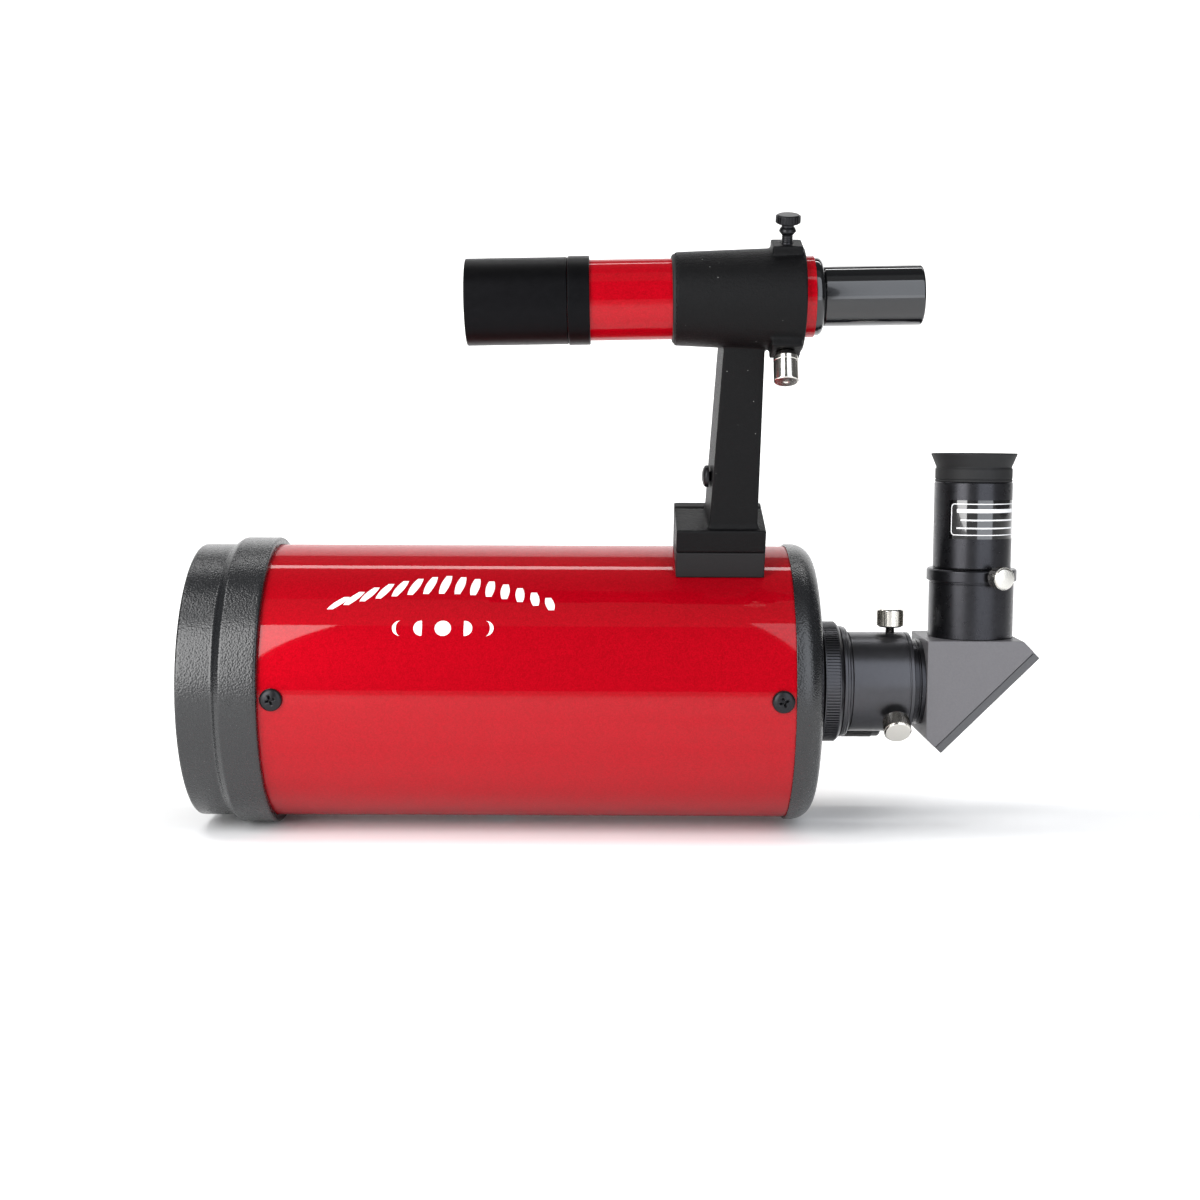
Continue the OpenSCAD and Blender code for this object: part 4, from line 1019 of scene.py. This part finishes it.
def castCopy(name, node, material, body, slotName):
    # a merged copy of the part's solid with the soft edges of a casting
    bm = bmesh.new()
    bm.from_mesh(nodes[node].data)
    bm.transform(nodes[node].matrix_world)
    bmesh.ops.remove_doubles(bm, verts=bm.verts, dist=1e-6)
    obj = toObject(name, bm, material)
    remesh = obj.modifiers.new("even skin", "REMESH")
    remesh.mode = "VOXEL"
    remesh.voxel_size = casting["voxel"] * mm
    smooth = obj.modifiers.new("soft edges", "SMOOTH")
    smooth.factor = 0.5
    smooth.iterations = casting["smoothSteps"]
    keepResult(obj)
    obj.data.polygons.foreach_set("use_smooth", [True] * len(obj.data.polygons))
    return settle(obj, body, slotName, node)


castCopy("bracketCasting", "finder_bracket", cast, "finder_bracket", "crinkle_cast_paint")
castCopy("shoeCasting", "finder_shoe", shoeFinish, "optical_tube", "crinkle_cast_paint")
stemScrew = crossScrew("stemScrew", 4.5, 2.8, 1.85, 10.0, oxide)
stemScrew.data.transform(Matrix.Scale(mm, 4) @ stemScrewAxis @ Matrix.Translation((0, 0, -87.6)))
settle(stemScrew, "finder_bracket", "black_screw_steel", "stem_screw")
thumbscrew("shoeClampScrew", 5.0, 16.5, 22.4, 2.0, 8.1, 40, clampAxis, oxide, "shoe_clamp_screw",
           "black_screw_steel", "shoe_clamp_screw")
print("bracket made")


def makeFinder():
    turnedPiece("finderORing", [(15.72, 71.2, 0.1), (16.5, 70.9, 0.5), (17.4, 71.6, 0.6), (17.4, 72.7, 0.6),
                                (16.5, 73.4, 0.5), (15.72, 73.1, 0.1)], finderAxis, rubber, "finder_o_ring",
                "black_rubber", "finder_o_ring", steps=120)
    turnedPiece("finderTube", [(14.6, 13), (15.7, 13, 0.1), (15.7, 126.3, 0.1), (14.6, 126.3)], finderAxis,
                red,
                "finder", "candy_red_paint", "finder_tube", steps=192)
    # fine thread-like grooves inside the mouth of the hood kill stray light
    hood = [(15.6, -9.4, 0.2), (16.7, -9.4, 0.25), (16.9, -9.0, 0.25), (16.9, 29.9, 0.3), (16.6, 30.4, 0.2),
            (15.72, 30.4, 0), (15.72, 9.5, 0), (14.6, 9.5, 0), (14.6, 8, 0), (15.6, 8, 0)]
    hood += [(15.6 if k % 2 else 15.85, 6.5 - k * 0.7, 0) for k in range(21)]
    turnedPiece("finderHood", hood, finderAxis, mattAnodised, "finder_hood", "black_anodised", "finder_hood",
                steps=160)
    lens = [(15.3 * i / 10, 0.6 + sag(85, 15.3 * i / 10), 0) for i in range(11)] + [(15.3, 7.9, 0),
                                                                                    (0, 7.9, 0)]
    turnedPiece("finderObjective", lens, finderAxis, glass, "finder_hood", "coated_glass", "finder_objective",
                steps=120, rounding=0)
    turnedPiece("finderObjectiveRetainer", [(14.3, -1, 0.2), (15.55, -1, 0.2), (15.55, 1.75, 0),
                                            (14.3, 1.75, 0.1)],
                finderAxis, baffle, "finder_hood", "flat_black_baffle", "finder_objective_retainer",
                steps=120)
    lock = [(15.72, 30.5, 0.1), (17.0, 30.5, 0.2), (17.25, 30.9, 0.2), (17.25, 38.6, 0.3), (17.0, 39, 0.2),
            (15.72, 39, 0.1)]
    turnedPiece("finderLockRing", lock, finderAxis, mattAnodised, "finder_lock_ring", "black_anodised",
                "finder_lock_ring", steps=160)
    endRing = [(10.3, 116, 0), (14.55, 116, 0), (14.55, 126.32, 0), (15.2, 126.32, 0.1)]
    endRing += arc(12.8, 127.3, 2.4, 0, 90, 8) + [(10.3, 129.7, 0.1)]
    turnedPiece("finderEndRing", endRing, finderAxis, gloss, "finder", "gloss_black_plastic",
                "finder_end_ring",
                steps=144)
    ocular = [(9.2, 117, 0), (10.25, 117, 0), (10.25, 129.8, 0), (11.2, 129.8, 0.3), (11.7, 130.6, 0.4),
              (11.7, 168.8, 1.0), (9, 168.8, 0.3), (7.6, 166.3, 0.3), (7.6, 163.8, 0), (9.2, 163.8, 0)]
    turnedPiece("finderEyepiece", ocular, finderAxis, gloss, "finder", "gloss_black_plastic",
                "finder_eyepiece",
                steps=144)
    eyeLens = [(0, 158.6, 0), (9.15, 160, 0), (9.15, 163.6, 0)]
    eyeLens += [(9.15 * k / 8, 163.6 + 1.3 * (1 - (k / 8) ** 2), 0) for k in range(7, -1, -1)]
    turnedPiece("finderEyeLens", eyeLens, finderAxis, glass, "finder", "coated_glass", "finder_eye_lens",
                steps=96,
                rounding=0)


def alignScrew(name, turn, tip, body, node):
    # waisted neck, bead and knurled head, with a few thread ridges showing under the bead
    shank = [(0, tip), (2.2, tip, 0.2)]
    for k in range(4):
        low = 22.6 + 0.75 * k
        shank += [(2.2, low, 0), (1.85, low + 0.3, 0), (2.2, low + 0.6, 0)]
    outline = shank + [(2.2, 25.6, 0.1), (3.4, 27.0, 0.6), (3.0, 28.0, 0.4), (2.4, 28.7, 0.3),
                       (2.4, 29.9, 0.1),
                       (4.2, 29.9, 0.3), (4.55, 30.3, 0.2), (4.55, 33.0, 0.2), (4.1, 33.4, 0.3), (0, 33.4)]
    obj = toObject(name, turnedMesh(outline, 64), oxide)
    runTree(obj, ribs, {"Rib Count": 26, "Rim Radius": 4.5, "Rib Height": 0.7, "Rib Width": 0.7,
                        "Rib Length": 2.5, "Rib Middle": 31.65, "Finish": oxide},
                        onRadius(ringFrame, alignX, turn))
    return settle(obj, body, "black_screw_steel", node)


def makePlunger():
    place = onRadius(ringFrame, alignX, 138.4)
    shell = [(1.95, 18.6, 0), (3.2, 18.6, 0.2), (3.2, 22.5, 0), (3.5, 22.5, 0.1), (4.85, 24.9, 0.3),
             (4.85, 26.4, 0.1),
             (4.65, 26.6, 0.05), (4.65, 27.0, 0.05), (4.85, 27.2, 0.1), (4.85, 35, 0.6), (1.1, 35, 0.2),
             (0.8, 34.6, 0.1),
             (0, 34.6), (0, 31), (2.5, 31, 0), (2.5, 20.4, 0), (1.95, 20.4, 0)]
    turnedPiece("plungerHousing", shell, place, nickel, "finder_bracket", "nickel_plated", "plunger_housing",
                steps=72)
    holder = bpy.data.objects.new("plungerSpring", bpy.data.meshes.new("plungerSpring"))
    bpy.context.collection.objects.link(holder)
    runTree(holder, spring, {"Turns": 6.0, "Coil Radius": 1.95, "Wire Radius": 0.35, "Spring Length": 6.4,
                             "Finish": steel}, place @ Matrix.Translation((0, 0, 24.1)))
    settle(holder, "finder_bracket", "bare_steel", "plunger_spring")


makeFinder()
alignShift = (alignX - pivotX) * tan(finderTilt)
alignScrew("alignScrewTop", 0, 15.7 + alignShift + 0.15, "align_screw_top", "align_screw_top")
alignScrew("alignScrewSide", -90, 15.85, "align_screw_side", "align_screw_side")
makePlunger()
print("finder made")

repaint(rubber, "corrector_gasket")
repaint(steel, "baffle_screws", "focus_bolt", "focus_sleeve", "finder_shoe_screws", "plunger_pin")
repaint(aluminium, "mount_block", "mirror_carriage")
repaint(oxide, "mount_block_screws", "diagonal_cover_screws")
repaint(baffle, "mirror_retainer", "field_stop", "crosshair_ring")
repaint(mirror, "diagonal_mirror")
repaint(glass, "field_lens")

# the glow value is the strength of a painted glow that the paper floor emits of its own, away from the
# painted shadow under the tube
studio = {"halfWidth": 3.0, "backdrop": 2.4, "height": 2.4, "curve": 0.8, "paintedGlow": 0.42, "near": -3.5,
          "roomLight": 0.11}
view = {"x": 44.0, "y": -740.0, "z": 166.0, "pitch": -5.598, "roll": 0.236, "yaw": -0.05, "focal": 51.54}


def makeFloor():
    p = studio
    low = min(cadBox[0][2], cadBox[1][2])
    material, tree, shader = newFinish("pale paper sweep", "#F2F2F2", 0.9, 0.0, {
        "Emission Color": linear("#FFFFFF")})
    # painted glow and painted shadow: the paper emits light of its own, and the emission fades to nothing in
    # a strip under the tube, which paints a contact shadow there
    parts = addNode(tree, "ShaderNodeSeparateXYZ", links={"Vector": objectPlace(tree)})
    aside = addNode(tree, "ShaderNodeMath", {"operation": "ABSOLUTE"}, links={0: parts.outputs["Y"]})
    paintedGlowOutsideShadow = addNode(tree, "ShaderNodeMapRange", {"interpolation_type": "SMOOTHSTEP"}, values={
        "From Min": 0.015, "From Max": 0.07, "To Max": p["paintedGlow"]}, links={"Value": aside.outputs["Value"]})
    tree.links.new(paintedGlowOutsideShadow.outputs["Result"], shader.inputs["Emission Strength"])
    fibre = addNode(tree, "ShaderNodeTexNoise", values={"Scale": perMetre(40), "Detail": 4.0},
                    links={"Vector": objectPlace(tree)})
    varyColour(tree, shader, fibre.outputs["Fac"], "#EEEEEE", "#F6F6F6")
    bm = bmesh.new()
    turnStart = p["backdrop"] - p["curve"]
    profile = [(p["near"], low), (turnStart, low)]
    profile += [(turnStart + p["curve"] * sin(radians(a)), low + p["curve"] * (1 - cos(radians(a))))
                for a in range(9, 91, 9)]
    profile += [(p["backdrop"], p["height"])]
    rows = [[bm.verts.new((x, y, z)) for y, z in profile] for x in (-p["halfWidth"], p["halfWidth"])]
    for j in range(len(profile) - 1):
        face = bm.faces.new([rows[0][j], rows[1][j], rows[1][j + 1], rows[0][j + 1]])
        face.smooth = True
    toObject("paperSweep", bm, material)


# name: place, target, size, watts, colour, seen in reflections
lights = {
    "leftPanel": ((-0.75, -0.85, 0.62), (-0.75, 0, 0.62), (0.96, 1.1), 24, "#FFFFFF", True),
    "rightPanel": ((0.68, -0.85, 0.66), (0.68, 0, 0.66), (0.9, 1.3), 10, "#F2F7FF", True),
    "leftStrip": ((-0.62, -0.27, 1.23), (-0.1, 0, 0.06), (0.62, 0.16), 2.6, "#FFFFFF", True),
    "frontCanopy": ((0.05, -0.5, 1.1), (0.05, 0, 0.06), (1.6, 0.5), 0.5, "#FFFFFF", True),
    "overheadFill": ((0.05, -0.25, 1.5), (0.05, 0, 0), (1.6, 0.8), 5.5, "#FFFFFF", False),
    "backdropLight": ((0, 0.9, 1.9), (0, 2.4, 0.4), (2.5, 0.5), 30, "#FFFFFF", True)}


def makeLights():
    world = bpy.data.worlds.new("white room")
    bpy.context.scene.world = world
    world.use_nodes = True
    background = world.node_tree.nodes["Background"]
    background.inputs["Color"].default_value = linear("#FFFFFF")
    background.inputs["Strength"].default_value = studio["roomLight"]
    # two tall panels leave a dark gap behind the camera, which keeps the middle of the tube deep red
    for name, (place, target, size, power, colour, glossy) in lights.items():
        light = bpy.data.lights.new(name, "AREA")
        light.shape = "RECTANGLE"
        light.size, light.size_y = size
        light.energy = power
        light.color = linear(colour)[:3]
        obj = bpy.data.objects.new(name, light)
        bpy.context.collection.objects.link(obj)
        obj.location = place
        obj.rotation_euler = (Vector(target) - Vector(place)).to_track_quat("-Z", "Y").to_euler()
        obj.visible_glossy = glossy


def makeCamera():
    p = view
    data = bpy.data.cameras.new("camera")
    data.sensor_width = 36
    data.lens = p["focal"]
    data.clip_start, data.clip_end = 0.01, 20
    camera = bpy.data.objects.new("camera", data)
    bpy.context.collection.objects.link(camera)
    # Z is up and the camera looks along +Y, then pitches, pans and rolls a little
    turn = (Matrix.Rotation(radians(-p["yaw"]), 4, "Z") @ Matrix.Rotation(radians(90 + p["pitch"]), 4, "X")
            @ Matrix.Rotation(radians(p["roll"]), 4, "Z"))
    camera.matrix_world = Matrix.Translation((p["x"] * mm, p["y"] * mm, p["z"] * mm)) @ turn
    bpy.context.scene.camera = camera


makeFloor()
makeLights()
makeCamera()
bpy.context.scene.view_settings.view_transform = "Standard"
print("studio made")
